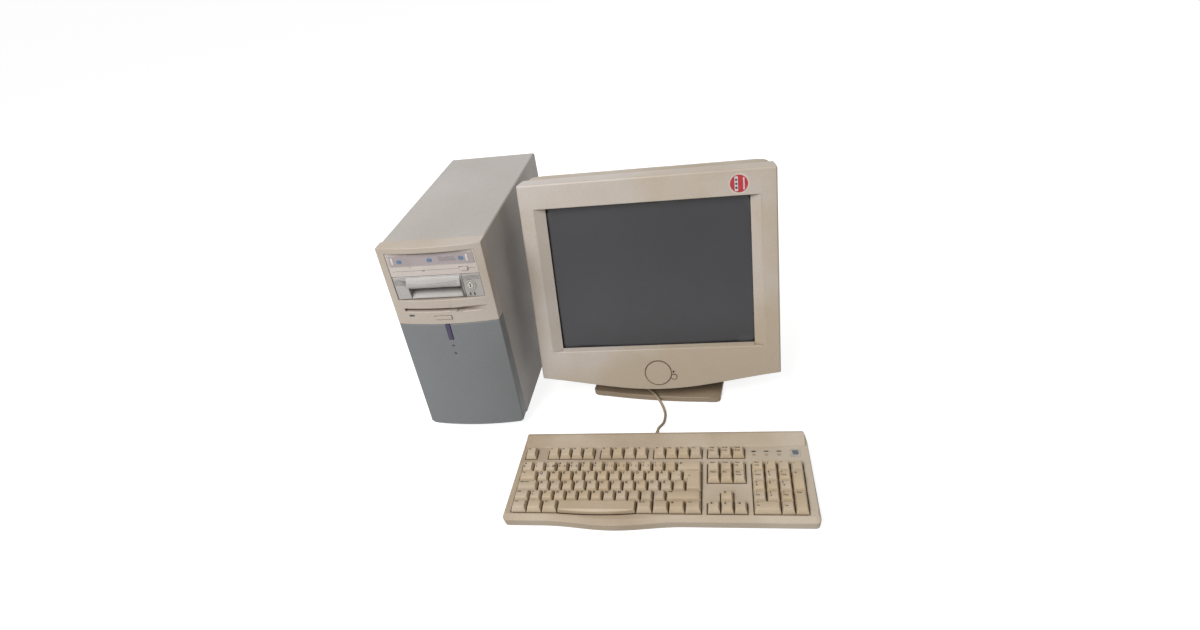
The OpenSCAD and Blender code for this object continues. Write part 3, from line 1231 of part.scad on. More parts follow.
module kb_top_case() color(pale_beige) difference() {
    union() {
        at_origin() skin([
            [for (p = case_outline(2, 1.5, 1.5, 7)) [p[0], p[1], skirt_z]],
            [for (p = case_outline(0, 0, 0, 8)) [p[0], p[1], crease_z]],
            [for (p = case_outline(9, 3, 1, 6)) [p[0], p[1], deck_height(p[1])]]
        ]);
        // raised strip along the back
        at_origin() intersection() {
            along_x(keyboard_mid - keyboard_w / 2 + 5.3, keyboard_mid + keyboard_w / 2 - 5.3)
                polygon([[strip_y, skirt_z + 6], [strip_y, deck_height(strip_y) - 0.2],
                         [strip_y + 1.5, deck_height(strip_y) + 1.2],
                         [keyboard_back - 7, keyboard_back_z], [keyboard_back - 3, keyboard_back_z - 0.6],
                         [keyboard_back - 0.8, keyboard_back_z - 3.5], [keyboard_back - 0.8, skirt_z + 6]]);
            translate([0, 0, skirt_z]) linear_extrude(keyboard_back_z)
                polygon(case_outline(9, 5.3, 0.8, 7));
        }
    }
    // hollow
    at_origin() along_x(keyboard_mid - keyboard_w / 2 + 4 + case_wall, keyboard_mid + keyboard_w / 2 - 4 - case_wall)
        polygon([[palm_y + case_wall + 2, skirt_z - over], [palm_y + case_wall + 2, crease_z - 4],
                 [2, deck_height(2) - case_wall], [strip_y, deck_height(strip_y) - case_wall],
                 [strip_y + 4, deck_height(strip_y) - case_wall + 1],
                 [keyboard_back - 8, keyboard_back_z - case_wall - 1.6],
                 [keyboard_back - 4, keyboard_back_z - case_wall - 4],
                 [keyboard_back - 4, skirt_z - over]]);
    at_deck() for (w = WELLS)
        block([w[0] - well_gap, w[1] - well_gap, -12], [w[0] + w[2] + well_gap, w[1] + w[3] + well_gap, 8]);
    at_deck() translate([0, 0, -12]) linear_extrude(20) space_plan(-well_gap);
    // windows of the three lamps, and the cord's exit
    at_deck() for (x = status_x) block([x - 3, status_y - 0.8, -8], [x + 3, status_y + 0.8, 3]);
    at_origin() rod_y(exit_x, exit_z, 4.6, keyboard_back - 6, keyboard_back + over);
}

module kb_bottom_case() color(pale_beige) difference() {
    union() {
        at_origin() skin([
            [for (p = case_outline(4.5, 4, 4, 6)) [p[0], p[1], pad_h]],
            [for (p = case_outline(3, 2.5, 2.5, 7)) [p[0], p[1], skirt_z - 0.1]]
        ]);
        // rim that locates the upper half
        at_origin() block([keyboard_mid - keyboard_w / 2 + 7.5, palm_y + 6.5, skirt_z - 0.2],
                          [keyboard_mid + keyboard_w / 2 - 7.5, keyboard_back - 5, skirt_z + 1.8]);
        // ribs under the switch plate
        at_origin() for (y = [8, 50, 92]) along_x(4, 432)
            polygon([[y, skirt_z], [y + 2, skirt_z],
                     [y + 2, deck_height(y + 2) + (plate_n - plate_t) / cos(deck_slope)],
                     [y, deck_height(y) + (plate_n - plate_t) / cos(deck_slope)]]);
        // pillars of the controller board, and the folding feet's pockets
        at_origin() for (x = [controller_at[0] + 6, controller_at[0] + controller[0] - 6])
            translate([x, controller_at[1] + controller[1] / 2, skirt_z])
            cylinder(r = 4, h = controller_at[2] - skirt_z);
        at_origin() for (x = foot_x)
            block([x - 3, foot_pivot[0] - foot_size[1] - 3, skirt_z], [x + foot_size[0] + 3, foot_pivot[0] + 4, 9]);
    }
    at_origin() for (x = foot_x) {
        block([x - slip, foot_pivot[0] - foot_size[1] - 1, 0], [x + foot_size[0] + slip, foot_pivot[0] + 2.4, 7]);
        rod_x(foot_pivot[0], foot_pivot[1], foot_pin_r + turn, x - 2, x + foot_size[0] + 2);
    }
    // notches so that the key stems clear the ribs
    at_deck() for (k = ALL_KEYS)
        stem_shape(k, 1.4, stem_n - key_travel - 0.6, plate_n - plate_t + 0.01);
}

module folding_foot(x) color(pale_beige) at_origin() {
    block([x, foot_pivot[0] - foot_size[1], pad_h + 0.2],
          [x + foot_size[0], foot_pivot[0], pad_h + 0.2 + foot_size[2]]);
    rod_x(foot_pivot[0], foot_pivot[1], foot_pin_r + 0.6, x, x + foot_size[0]);
    rod_x(foot_pivot[0], foot_pivot[1], foot_pin_r, x - 1.8, x + foot_size[0] + 1.8);
}
module kb_foot_left() folding_foot(foot_x[0]);
module kb_foot_right() folding_foot(foot_x[1]);

module kb_pads() color(dark) at_origin() {
    for (x = [20, 420]) translate([x, 4, 0]) cylinder(r = 6, h = pad_h);
    for (x = [6, 434]) translate([x, 145, 0]) cylinder(r = 6, h = pad_h);
}

// Keys as [x, y, width, depth, tilt], in key pitches apart from the cursor and number blocks;
// tilt says how much the back of the key's top stands above its front
function line_of(x, y, widths, tilt, i = 0) = i == len(widths) ? []
    : concat([[x, y, widths[i] * pitch, pitch, tilt]],
             line_of(x + widths[i] * pitch, y, widths, tilt, i + 1));
function same(n) = [for (i = [1 : n]) 1];
tilt_far = 1.6;
tilt_upper = 1.1;
tilt_home = 0.3;
tilt_near = -0.5;

FUNCTION_KEYS = concat(
    line_of(0, function_row, [1], tilt_far),
    [for (x = [2, 6.5, 11]) each line_of(x * pitch, function_row, same(4), tilt_far)]
);
NUMBER_KEYS = line_of(0, rows[4], concat(same(13), [2]), tilt_far);
UPPER_KEYS = line_of(0, rows[3], concat([1.5], same(12)), tilt_upper);
HOME_KEYS = line_of(0, rows[2], concat([1.75], same(12)), tilt_home);
LOWER_KEYS = line_of(0, rows[1], concat([1.25], same(11), [2.75]), tilt_near);
MODIFIER_KEYS = concat(line_of(0, 0, [1.25, 1.25, 1.25], tilt_near),
                       line_of(10 * pitch, 0, [1.25, 1.25, 1.25, 1.25], tilt_near));
SPACE_KEY = [[space_from * pitch, 0, space_units * pitch, pitch, tilt_near]];
ENTER_KEYS = [[13.75 * pitch, rows[2], 1.25 * pitch, 2 * pitch, tilt_upper],
              [13.5 * pitch, rows[3], 1.5 * pitch, pitch, tilt_upper]];
NAVIGATION_KEYS = concat(line_of(nav_x, function_row, same(3), tilt_far),
                         line_of(nav_x, rows[4], same(3), tilt_far),
                         line_of(nav_x, rows[3], same(3), tilt_upper));
ARROW_KEYS = concat(line_of(nav_x, 0, same(3), tilt_near), line_of(nav_x + pitch, rows[1], [1], tilt_near));
NUMPAD_KEYS = concat(
    line_of(pad_x, rows[4], same(4), tilt_far), line_of(pad_x, rows[3], same(3), tilt_upper),
    line_of(pad_x, rows[2], same(3), tilt_home), line_of(pad_x, rows[1], same(3), tilt_near),
    line_of(pad_x, 0, [2, 1], tilt_near),
    [[pad_x + 3 * pitch, rows[2], pitch, 2 * pitch, tilt_home],
     [pad_x + 3 * pitch, 0, pitch, 2 * pitch, tilt_near]]
);
ALL_KEYS = concat(FUNCTION_KEYS, NUMBER_KEYS, UPPER_KEYS, HOME_KEYS, LOWER_KEYS, MODIFIER_KEYS,
                  SPACE_KEY, [ENTER_KEYS[0]], NAVIGATION_KEYS, ARROW_KEYS, NUMPAD_KEYS);

// Square stem under the middle of a key, widened by a gap, between two heights
module stem_shape(k, gap, low, high) translate([k[0] + k[2] / 2, k[1] + k[3] / 2, low])
    translate([-stem / 2 - gap, -stem / 2 - gap, 0]) cube([stem + 2 * gap, stem + 2 * gap, high - low]);

// Tapered cap: a side view and a front view crossed
module keycap(k) {
    x0 = k[0] + key_gap / 2;
    x1 = k[0] + k[2] - key_gap / 2;
    y0 = k[1] + key_gap / 2;
    y1 = k[1] + k[3] - key_gap / 2;
    low = key_h - k[4] / 2;
    high = key_h + k[4] / 2;
    intersection() {
        along_x(x0, x1)
            polygon([[y0, key_base], [y1, key_base], [y1 - back_run, high], [y0 + front_run, low]]);
        along_y(y0, y1)
            polygon([[x0, key_base], [x1, key_base], [x1 - side_run, key_h + 3], [x0 + side_run, key_h + 3]]);
    }
}
module key_group(keys) color(key_beige) at_deck() {
    for (k = keys) keycap(k);
    for (k = keys) stem_shape(k, 0, stem_n, key_base + 0.1);
}

module function_keys() key_group(FUNCTION_KEYS);
module number_keys() key_group(NUMBER_KEYS);
module upper_letter_keys() key_group(UPPER_KEYS);
module home_letter_keys() key_group(HOME_KEYS);
module lower_letter_keys() key_group(LOWER_KEYS);
module modifier_keys() key_group(MODIFIER_KEYS);
module navigation_keys() key_group(NAVIGATION_KEYS);
module arrow_keys() key_group(ARROW_KEYS);
module numpad_keys() key_group(NUMPAD_KEYS);

module enter_key() color(key_beige) at_deck() {
    for (k = ENTER_KEYS) keycap(k);
    stem_shape(ENTER_KEYS[0], 0, stem_n, key_base + 0.1);
}

module space_bar() color(key_beige) at_deck() {
    k = SPACE_KEY[0];
    x0 = k[0] + key_gap / 2;
    x1 = k[0] + k[2] - key_gap / 2;
    intersection() {
        translate([0, 0, key_base]) linear_extrude(key_h + 4) space_plan(key_gap / 2);
        along_x(x0, x1)
            polygon([[-space_bulge - 1, key_base], [pitch, key_base],
                     [pitch - key_gap / 2 - back_run, key_h - 0.4], [key_gap / 2 + 0.6, key_h - 0.4],
                     [key_gap / 2 - space_bulge, key_h - 3.4], [-space_bulge - 1, key_h - 4.4]]);
        along_y(-space_bulge - 1, pitch)
            polygon([[x0, key_base], [x1, key_base], [x1 - side_run, key_h + 3], [x0 + side_run, key_h + 3]]);
    }
    stem_shape(k, 0, stem_n, key_base + 0.1);
}

module kb_switch_plate() color(dark) at_deck() difference() {
    block([-3, -2, plate_n - plate_t], [pad_x + 4 * pitch + 3, strip_y - 3, plate_n]);
    for (k = ALL_KEYS) stem_shape(k, slip, plate_n - plate_t - over, plate_n + over);
}

module kb_controller() color(board_green) {
    at_origin() translate(controller_at) cube(controller);
    at_origin() translate(controller_at + [30, 4, controller[2] - 0.1]) cube([24, 10, 4]);
    // lamps that look through the deck, on a strip that runs back to the board
    at_deck() for (x = status_x)
        block([x - 2.7, status_y - 0.6, plate_n + 0.6], [x + 2.7, status_y + 0.6, 0.2]);
    at_deck() block([status_x[0] - 4, status_y - 1.5, plate_n + 0.6],
                    [status_x[2] + 4, strip_y + 8, plate_n + 1.8]);
    at_origin() for (x = [status_x[0], status_x[2]])
        block([x - 3, strip_y + 4, controller_at[2] + 0.5],
              [x + 3, strip_y + 6, deck_height(strip_y + 4) + plate_n + 1]);
}

// ---------------------------------------------------------------- cord

module cord_relief() color(dark) at_origin() difference() {
    union() {
        rod_y(exit_x, exit_z, 4.3, keyboard_back - 7, keyboard_back + 0.5);
        rod_y(exit_x, exit_z, 6, keyboard_back + 0.2, keyboard_back + 2.4);
        translate([exit_x, keyboard_back + 2.3, exit_z]) rotate([-90, 0, 0])
            cylinder(r1 = 4.6, r2 = cord_r + 0.7, h = relief_len - 2.3);
    }
}

module keyboard_cord() color(pale_beige) at_origin() {
    tube(ROUTE, cord_r, 8);
    tube(TAIL, cord_r, 8);
}

module cord_coil() color(pale_beige) at_origin() translate([coil_at[0], coil_at[1], 0])
    rotate_extrude() translate([coil_inner - cord_r, 0.1])
    square([coil_outer - coil_inner + cord_d, coil_layers * cord_d]);

module keyboard_plug() color(dark) at_origin() translate(plug_at) rotate([0, -90, 0]) {
    cylinder(r1 = cord_r + 0.8, r2 = 4.4, h = 14);
    translate([0, 0, 13.9]) cylinder(r = plug_r, h = 24);
    translate([0, 0, 37.8]) difference() {
        cylinder(r = 4.7, h = 8);
        translate([0, 0, 1]) cylinder(r = 4.2, h = 8);
    }
}

tower_chassis();
tower_cover();
front_bezel();
lower_panel();
power_button();
front_leds();
cd_drive();
cd_tray();
cd_eject_button();
rack_frame();
rack_drawer();
rack_lock();
hard_disk();
floppy_drive();
floppy_eject_button();
floppy_flap();
power_supply();
psu_fan();
motherboard();
cpu_heatsink();
cpu_fan();
expansion_card();
tower_feet();
tower_screws();
pedestal_base();
swivel_disc();
monitor_bezel();
monitor_housing();
picture_tube();
deflection_yoke();
tube_band();
monitor_board();
neck_board();
monitor_power_button();
menu_dial();
monitor_led();
pedestal_feet();
monitor_screws();
kb_bottom_case();
kb_top_case();
kb_switch_plate();
kb_controller();
kb_foot_left();
kb_foot_right();
kb_pads();
function_keys();
number_keys();
upper_letter_keys();
home_letter_keys();
lower_letter_keys();
modifier_keys();
space_bar();
enter_key();
navigation_keys();
arrow_keys();
numpad_keys();
keyboard_cord();
cord_coil();
keyboard_plug();
cord_relief();
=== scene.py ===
# %% [markdown]
# # A home computer of the nineties
#
# Three units stand on one desk: a slim tower, a tube monitor on its tilt and swivel base, and a
# full-size keyboard whose cord runs away behind the monitor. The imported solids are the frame.
# This lesson dresses them: the view and the cord, the finishes, the rounded edges, the keys with
# their legends, and the small things that are printed or stuck on.

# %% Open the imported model
import bmesh
import bpy
import json
import random
from math import atan2, cos, pi, radians, sin
from mathutils import Matrix, Vector
from mathutils.bvhtree import BVHTree


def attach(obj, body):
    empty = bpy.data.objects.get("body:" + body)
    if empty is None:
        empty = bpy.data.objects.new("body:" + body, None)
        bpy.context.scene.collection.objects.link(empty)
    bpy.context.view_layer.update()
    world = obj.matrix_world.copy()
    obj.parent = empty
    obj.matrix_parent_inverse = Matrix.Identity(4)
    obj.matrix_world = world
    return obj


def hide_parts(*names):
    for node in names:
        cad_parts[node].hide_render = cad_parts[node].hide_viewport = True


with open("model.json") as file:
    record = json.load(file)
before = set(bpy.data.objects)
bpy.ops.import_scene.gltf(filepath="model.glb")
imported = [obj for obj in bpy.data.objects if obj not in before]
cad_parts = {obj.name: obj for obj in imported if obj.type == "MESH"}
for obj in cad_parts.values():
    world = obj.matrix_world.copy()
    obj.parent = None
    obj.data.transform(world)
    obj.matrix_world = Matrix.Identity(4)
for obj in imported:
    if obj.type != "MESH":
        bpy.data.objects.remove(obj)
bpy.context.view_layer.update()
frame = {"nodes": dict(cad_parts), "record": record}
NODES = frame["nodes"]
BODY_OF = {n: b for b, ns in frame["record"]["behaviour"]["bodies"].items() for n in ns}
SLOT_OF = {s["node"]: s["material_slot"] for s in frame["record"]["subparts"]}
MM = 0.001

# %% [markdown]
# Four sets of axes keep the numbers readable. The desk's zero is the front left corner of the
# letter keys, the tower's its front left foot, the monitor's the middle of its lower edge,
# leaning back with it, and the key deck lies on the keyboard's slope. Each is a matrix that
# turns millimetres there into metres in the frame.

# %% Axes of the three units
LEAN = radians(-11.75)  # of the monitor, backwards
SLOPE = radians(3)  # of the key deck
DESK = Matrix.Translation((-0.1224, -0.3603742, 0)) @ Matrix.Scale(MM, 4)
TOWER = DESK @ Matrix.Translation((-206.7, 222.9, 0))
MONITOR = DESK @ Matrix.Translation((211, 271.3, 65.2)) @ Matrix.Rotation(LEAN, 4, "X")
DECK = DESK @ Matrix.Translation((0, 0, 20.6)) @ Matrix.Rotation(SLOPE, 4, "X")
print("monitor's lower edge is at", [round(v, 3) for v in MONITOR.translation])

# %% [markdown]
# The camera looks down from the front with a short lens held slightly askew. A tilt, a pan and
# a roll in one are easier to keep as a matrix of the camera's axes than as angles.

# %% Helper: put something in the scene
def placed(name, data):
    """An object of the scene that holds a mesh, a curve, a camera or a lamp."""
    piece = bpy.data.objects.new(name, data)
    bpy.context.scene.collection.objects.link(piece)
    return piece

# %% Camera
lens = bpy.data.cameras.new("view")
lens.sensor_width = 36
lens.lens = 21.09
camera = placed("view", lens)
camera.matrix_world = Matrix((
    (0.98227107, 0.04238813, 0.18261105, 0.21653),
    (0.13157653, 0.53797269, -0.83263017, -1.0665042),
    (-0.13353339, 0.84189586, 0.52285772, 0.80841),
    (0, 0, 0, 1)))
bpy.context.scene.camera = camera

# %% [markdown]
# ## The cord
#
# A keyboard cord of that time is 5 mm thick and 1.5 m long. It leaves a tapered relief, dips to
# the desk, climbs over the monitor's base under the screen, and the rest of it is wound flat
# behind the base: three turns inwards on the desk, then three outwards on top of them, each turn
# one diameter from the next. It ends in its plug. One open curve carries all of it, so its length
# can be measured.

# %% Route of the cord
CORD_D = 5.0
ROUTE = [
    (210, 184, 13), (210.6, 191, 12.6), (213, 200, 10.2), (216, 210, 6.4),
    (218.2, 220, 3.6), (219.2, 231, 2.7), (219, 242, 2.7), (216.6, 252, 4.2),
    (212.2, 262, 8.2), (206.4, 271.5, 12.4), (199.4, 281.5, 15), (190, 292.5, 15.8),
    (177, 302.5, 16.3), (160, 312, 16.9), (141, 322, 17.5), (123, 334.5, 17.5),
    (108, 350, 16.4), (95, 367, 15.4), (86, 383, 13.2), (79.5, 400, 8.8),
    (75.5, 418, 4.4), (74, 438, 2.7), (76.5, 463, 2.7), (83, 488, 2.7), (95, 510, 2.7),
    (114, 525, 2.7), (137, 531, 2.7), (157, 532, 2.7), (172, 530.3, 2.7),
]
TAIL = [(175, 592.6, 7.5), (166, 592.8, 7), (156, 593, 6.4), (147, 593, 6.2), (138, 593, 6.4),
        (130, 593, 6.5)]
print("points before the coil:", len(ROUTE), "and after it:", len(TAIL))

# %% The coil
COIL_CENTRE, COIL_RADIUS = (185, 560), 32.5  # of the outermost turn
COIL_START, COIL_END, FULL_TURNS = -114, 92, 5
# Degrees of winding where turns draw in, widen again, and climb on the lower ones
STEPS_IN, STEPS_OUT, CLIMB = ((300, 360), (660, 720)), ((1260, 1320), (1620, 1680)), (950, 1015)
LOWEST = 2.65  # height of the cord's middle on the desk
FIRST_KNOT, SHORT_OF_END, KNOT_STEP = 14, 8, 18


def between(u, a, b):
    """0 before a, 1 after b, and a smooth climb between them."""
    c = min(max((u - a) / (b - a), 0), 1)
    return c * c * (3 - 2 * c)


def coil_point(turned):
    """A point of the coil after so many degrees of winding."""
    inwards = sum(between(turned, *step) for step in STEPS_IN)
    outwards = sum(between(turned, *step) for step in STEPS_OUT)
    radius = COIL_RADIUS - CORD_D * (inwards - outwards)
    height = LOWEST + CORD_D * between(turned, *CLIMB)
    a = radians(COIL_START + turned)
    return COIL_CENTRE[0] + radius * cos(a), COIL_CENTRE[1] + radius * sin(a), height


wound = COIL_END - COIL_START + FULL_TURNS * 360
coil = [coil_point(d) for d in range(FIRST_KNOT, wound - SHORT_OF_END, KNOT_STEP)]
route = [DESK @ Vector(p) for p in ROUTE + coil + TAIL]
print("turns in the coil:", round(wound / 360, 2))

# %% Helpers: select a piece, smooth it, run a curve through points
def pick(piece):
    """Makes one piece the only selected and the active one."""
    bpy.ops.object.select_all(action="DESELECT")
    piece.select_set(True)
    bpy.context.view_layer.objects.active = piece


def smooth(degrees):
    """Shades the picked piece smoothly, except over edges that turn by more."""
    bpy.ops.object.shade_smooth_by_angle(angle=radians(degrees))


def run_through(name, points, roundness):
    """A curve through points, with closed ends and as yet no thickness."""
    data = bpy.data.curves.new(name, "CURVE")
    data.dimensions = "3D"
    data.resolution_u = 4
    data.bevel_resolution = roundness
    data.use_fill_caps = True
    way = data.splines.new("BEZIER")
    way.bezier_points.add(len(points) - 1)
    for knot, place in zip(way.bezier_points, points):
        knot.co = place
        knot.handle_left_type = knot.handle_right_type = "AUTO"
    return placed(name, data)


def thicken(piece, radius):
    """Gives a curve its thickness and turns it into a mesh."""
    piece.data.bevel_depth = radius
    pick(piece)
    bpy.ops.object.convert(target="MESH")

# %% The cord itself
cord = run_through("cord", route, 3)
bpy.context.view_layer.update()
cord_path = [v.co.copy() for v in cord.to_mesh().vertices]
cord.to_mesh_clear()
thicken(cord, CORD_D / 2 * MM)
smooth(50)
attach(cord, BODY_OF["keyboard_cord"])
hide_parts("keyboard_cord", "cord_coil")

# %% [markdown]
# ## Finishes
#
# All of it is moulded plastic, painted sheet or metal, twenty-five years old. One recipe serves:
# two tints that drift into each other, as plastic yellows unevenly; fine specks; dust and painted
# shade, which a short-range occlusion lays in corners and seams; a little more shine where hands
# have rubbed; and the fine grain of the mould as bump. Only the numbers differ from one to the
# next.

# %% Helpers: colours and shader nodes
def linear(code):
    """The scene colour of a colour written as it looks on a screen."""
    parts = [int(code[i:i + 2], 16) / 255 for i in (1, 3, 5)]
    return tuple(c / 12.92 if c <= 0.04045 else ((c + 0.055) / 1.055) ** 2.4 for c in parts) + (1,)


def add(tree, kind, inputs=None, **settings):
    """Adds a shader node, with attributes and input values set."""
    made = tree.nodes.new("ShaderNode" + kind)
    for key, value in settings.items():
        setattr(made, key, value)
    for key, value in (inputs or {}).items():
        if isinstance(value, bpy.types.NodeSocket):
            tree.links.new(value, made.inputs[key])
        else:
            made.inputs[key].default_value = value
    return made


def empty_tree(owner):
    """The node tree of a material or a world, without its first nodes."""
    owner.use_nodes = True
    owner.node_tree.nodes.clear()
    return owner.node_tree

# %% Helpers: patterns and mixes
def noise(tree, place, scale, detail):
    """A noise pattern in metres: scale is about how many spots fit in one metre."""
    return add(tree, "TexNoise", {"Vector": place, "Scale": scale, "Detail": detail}).outputs["Fac"]


def remap(tree, value, low, high, to_low=0.0, to_high=1.0):
    """Stretches a value's range, clamped at both ends."""
    made = add(tree, "MapRange", {"Value": value, "From Min": low, "From Max": high,
                                  "To Min": to_low, "To Max": to_high})
    return made.outputs["Result"]


def worked_out(tree, operation, first, second):
    """The sum, product or other result of two values."""
    return add(tree, "Math", {0: first, 1: second}, operation=operation).outputs[0]


def blend_colour(tree, factor, first, second, mode="MIX"):
    """Mixes two colours, of which either may be a socket."""
    made = add(tree, "Mix", {0: factor, 6: first, 7: second}, data_type="RGBA", blend_type=mode)
    return made.outputs[2]

# %% Helper: a moulded, painted or metal finish
FINISH = {}
FADE = 0.22  # how far a fade pushes the drift towards one tint
OPEN, SHUT = 0.95, 0.25  # occlusion at which dust and painted shade begin, and at which they are full
SMUDGES = 45  # patches of dust and painted shade in a metre
GRAIN_DEPTH = 0.0002
COAT_ROUGH = 0.12


def finish(name, pale, aged, drift=6, specks=0.05, grain=2600, relief=0.1, rough=(0.42, 0.55),
           grime_and_shade="#5b4a3a", reach=0.005, dirt_and_shade=0.55, metal=0.0, coat=0.0, tone=None, ior=1.46,
           fade=None, even=0.5):
    """A material of two tints, a grain, and dust with painted shade in its corners.

    tone names a colour attribute; fade is a direction and two distances along it, between which
    the aged tint takes over; even says how evenly the dust and painted shade lie, up to 1.
    """
    FINISH[name] = bpy.data.materials.new(name)
    tree = empty_tree(FINISH[name])
    place = add(tree, "TexCoord").outputs["Object"]
    spots = noise(tree, place, drift, 4)
    if fade:
        way, start, stop = fade
        along = add(tree, "VectorMath", {0: place, 1: way}, operation="DOT_PRODUCT")
        push = remap(tree, along.outputs["Value"], start, stop, -FADE, FADE)
        spots = worked_out(tree, "ADD", spots, push)
    colour = blend_colour(tree, remap(tree, spots, 0.35, 0.65), linear(pale), linear(aged))
    if tone:
        shade = add(tree, "Attribute", attribute_name=tone).outputs["Color"]
        colour = blend_colour(tree, 1.0, colour, shade, "MULTIPLY")
    fine = remap(tree, noise(tree, place, grain / 5, 2), 0.3, 0.7, 1 - specks, 1 + specks)
    speck = add(tree, "CombineColor", {0: fine, 1: fine, 2: fine}).outputs[0]
    colour = blend_colour(tree, 1.0, colour, speck, "MULTIPLY")
    # Occlusion pulls the colour towards the grime colour in corners and seams. Where that colour is
    # lighter, as on black parts, this is dust. Where it is darker, it is painted shade with some
    # dirt.
    corner = add(tree, "AmbientOcclusion", {"Distance": reach}, samples=6).outputs["AO"]
    smudge = remap(tree, noise(tree, place, SMUDGES, 3), 0.3, 0.75, even, 1.0)
    shade_and_dust = worked_out(tree, "MULTIPLY", remap(tree, corner, SHUT, OPEN, dirt_and_shade, 0.0), smudge)
    colour = blend_colour(tree, shade_and_dust, colour, linear(grime_and_shade))
    shine = remap(tree, noise(tree, place, drift * 3, 3), 0.3, 0.7, *rough)
    bump = add(tree, "Bump", {"Height": noise(tree, place, grain, 2), "Strength": relief,
                              "Distance": GRAIN_DEPTH})
    shader = add(tree, "BsdfPrincipled", {
        "Base Color": colour, "Roughness": shine, "Normal": bump.outputs["Normal"],
        "Metallic": metal, "Coat Weight": coat, "Coat Roughness": COAT_ROUGH, "IOR": ior})
    add(tree, "OutputMaterial", {"Surface": shader.outputs["BSDF"]}).is_active_output = True

# %% [markdown]
# The plastics aged apart: the tower's front is a pale warm beige, the monitor a little warmer
# towards its foot, the keyboard the yellowest. The lower panel is a flat blue-grey, the drive
# fronts are almost white, and the drawer is painted silver. The cover is steel under semi-gloss
# paint. One material for all beige parts would look like one moulding, so each unit has its own.
# The stand's beige is darker than the monitor's: that is painted shade from the monitor above it.

# %% Finishes of plastic and paint
finish("tower_beige", "#bfb4a9", "#b5a899")
finish("monitor_beige", "#c1b8b0", "#b4a591", fade=((0.8, 0, -1), -0.5, 0.14))
# The stand is a darker beige than the monitor: painted shade from the monitor that hangs over it.
finish("stand_beige_in_shade", "#a08f7a", "#93816b")
finish("keyboard_cream", "#c0b29f", "#a5937c", dirt_and_shade=0.7, fade=((-1, 0, 0), -0.33, 0.16))
finish("housing_cream", "#b9ac9d", "#aa9a86")
finish("panel_grey", "#777a7b", "#717374", drift=3, grime_and_shade="#4a4a48")
# The cover's occlusion reaches 10 cm and lies almost evenly. It is painted shade that darkens and
# browns the side facing the monitor.
finish("cover_paint", "#b4aea9", "#aaa39c", drift=4, relief=0.25, grain=1500, rough=(0.42, 0.52),
       grime_and_shade="#6a5d52", reach=0.1, dirt_and_shade=0.75, coat=0.05, even=0.95)
finish("drive_white", "#ccc2bc", "#c0b4ab", drift=9, grime_and_shade="#6a5f57")
# The drawer's occlusion reaches 14 mm and pulls hard towards near black. This is painted shade
# round its lip and edges.
finish("drawer_silver", "#b0aca9", "#a5a19d", drift=9, metal=0.15, rough=(0.4, 0.5),
       grime_and_shade="#3d3a37", reach=0.014, dirt_and_shade=0.85)
finish("button_violet", "#463a5c", "#3a304d", rough=(0.25, 0.35), grime_and_shade="#221c30")
finish("lamp_dark", "#393836", "#2b2a29", rough=(0.12, 0.2), coat=0.4)
finish("key_plastic", "#c2b29c", "#b8a58b", drift=14, tone="tone", dirt_and_shade=0.8, reach=0.003,
       grime_and_shade="#6b563c")
finish("cord_plastic", "#a3937c", "#93836c", drift=20, relief=0.2, rough=(0.5, 0.62))
finish("black_plastic", "#2b2b2c", "#222222", rough=(0.45, 0.6), grime_and_shade="#4a4642", dirt_and_shade=0.3)
finish("black_rubber", "#262524", "#1d1c1b", rough=(0.75, 0.9), relief=0.4, grime_and_shade="#4a4642")
print("finishes of plastic and paint:", len(FINISH))

# %% Finishes of metal, glass and boards
finish("zinc_steel", "#a4a6a6", "#969899", drift=60, specks=0.12, metal=0.8, rough=(0.3, 0.4),
       relief=0.15, grime_and_shade="#5f605f", dirt_and_shade=0.35)
finish("cast_aluminium", "#aeb0b2", "#9a9c9e", metal=0.8, grain=1400, relief=0.35,
       rough=(0.35, 0.5))
finish("green_board", "#2f6a3c", "#25572f", drift=30, rough=(0.28, 0.4), coat=0.3,
       grime_and_shade="#4b4a35")
finish("plated_screw", "#b9b6ae", "#9d9a92", metal=1.0, rough=(0.22, 0.34))
finish("tube_glass", "#38373a", "#2f2f32", drift=4, specks=0.02, relief=0.03, grain=4000,
       rough=(0.22, 0.28), grime_and_shade="#1c1c1d", reach=0.003, dirt_and_shade=0.2, ior=1.5)
finish("copper_winding", "#8a4b2a", "#6f3a20", drift=60, metal=0.7, grain=700, relief=0.5,
       rough=(0.3, 0.45))
finish("band_steel", "#8b8d90", "#77797b", metal=0.9, rough=(0.35, 0.5))
finish("switch_plate", "#453f39", "#373029", rough=(0.5, 0.65), grime_and_shade="#5c4d3c")
print("all finishes so far:", len(FINISH))

# %% Which solid takes which finish
BY_SLOT = {  # where the finish isn't called after the slot
    "grey_plastic": "panel_grey", "violet_plastic": "button_violet",
    "pale_plastic": "drive_white", "silver_plastic": "drawer_silver",
    "steel_sheet": "zinc_steel", "cast_cover": "cast_aluminium", "circuit_board": "green_board",
    "bare_aluminium": "cast_aluminium", "screw_steel": "plated_screw",
    "copper_wire": "copper_winding", "dark_metal": "switch_plate",
    "cream_plastic": "housing_cream", "beige_plastic": "tower_beige",
}
BLACK, LAMP, DARK = "black_plastic", "lamp_dark", "dark_metal"  # slots that come often
BY_NODE = {
    "monitor_bezel": "monitor_beige", "menu_dial": "monitor_beige",
    "monitor_power_button": "monitor_beige", "pedestal_base": "stand_beige_in_shade",
    "swivel_disc": "stand_beige_in_shade",
}


def finish_of(node):
    """The finish that a solid takes: the keyboard's, one of its own, or that of its slot."""
    slot = SLOT_OF[node]
    if node.startswith("kb_") and slot == "cream_plastic":
        return FINISH["keyboard_cream"]
    return FINISH[BY_NODE.get(node, BY_SLOT.get(slot, slot))]


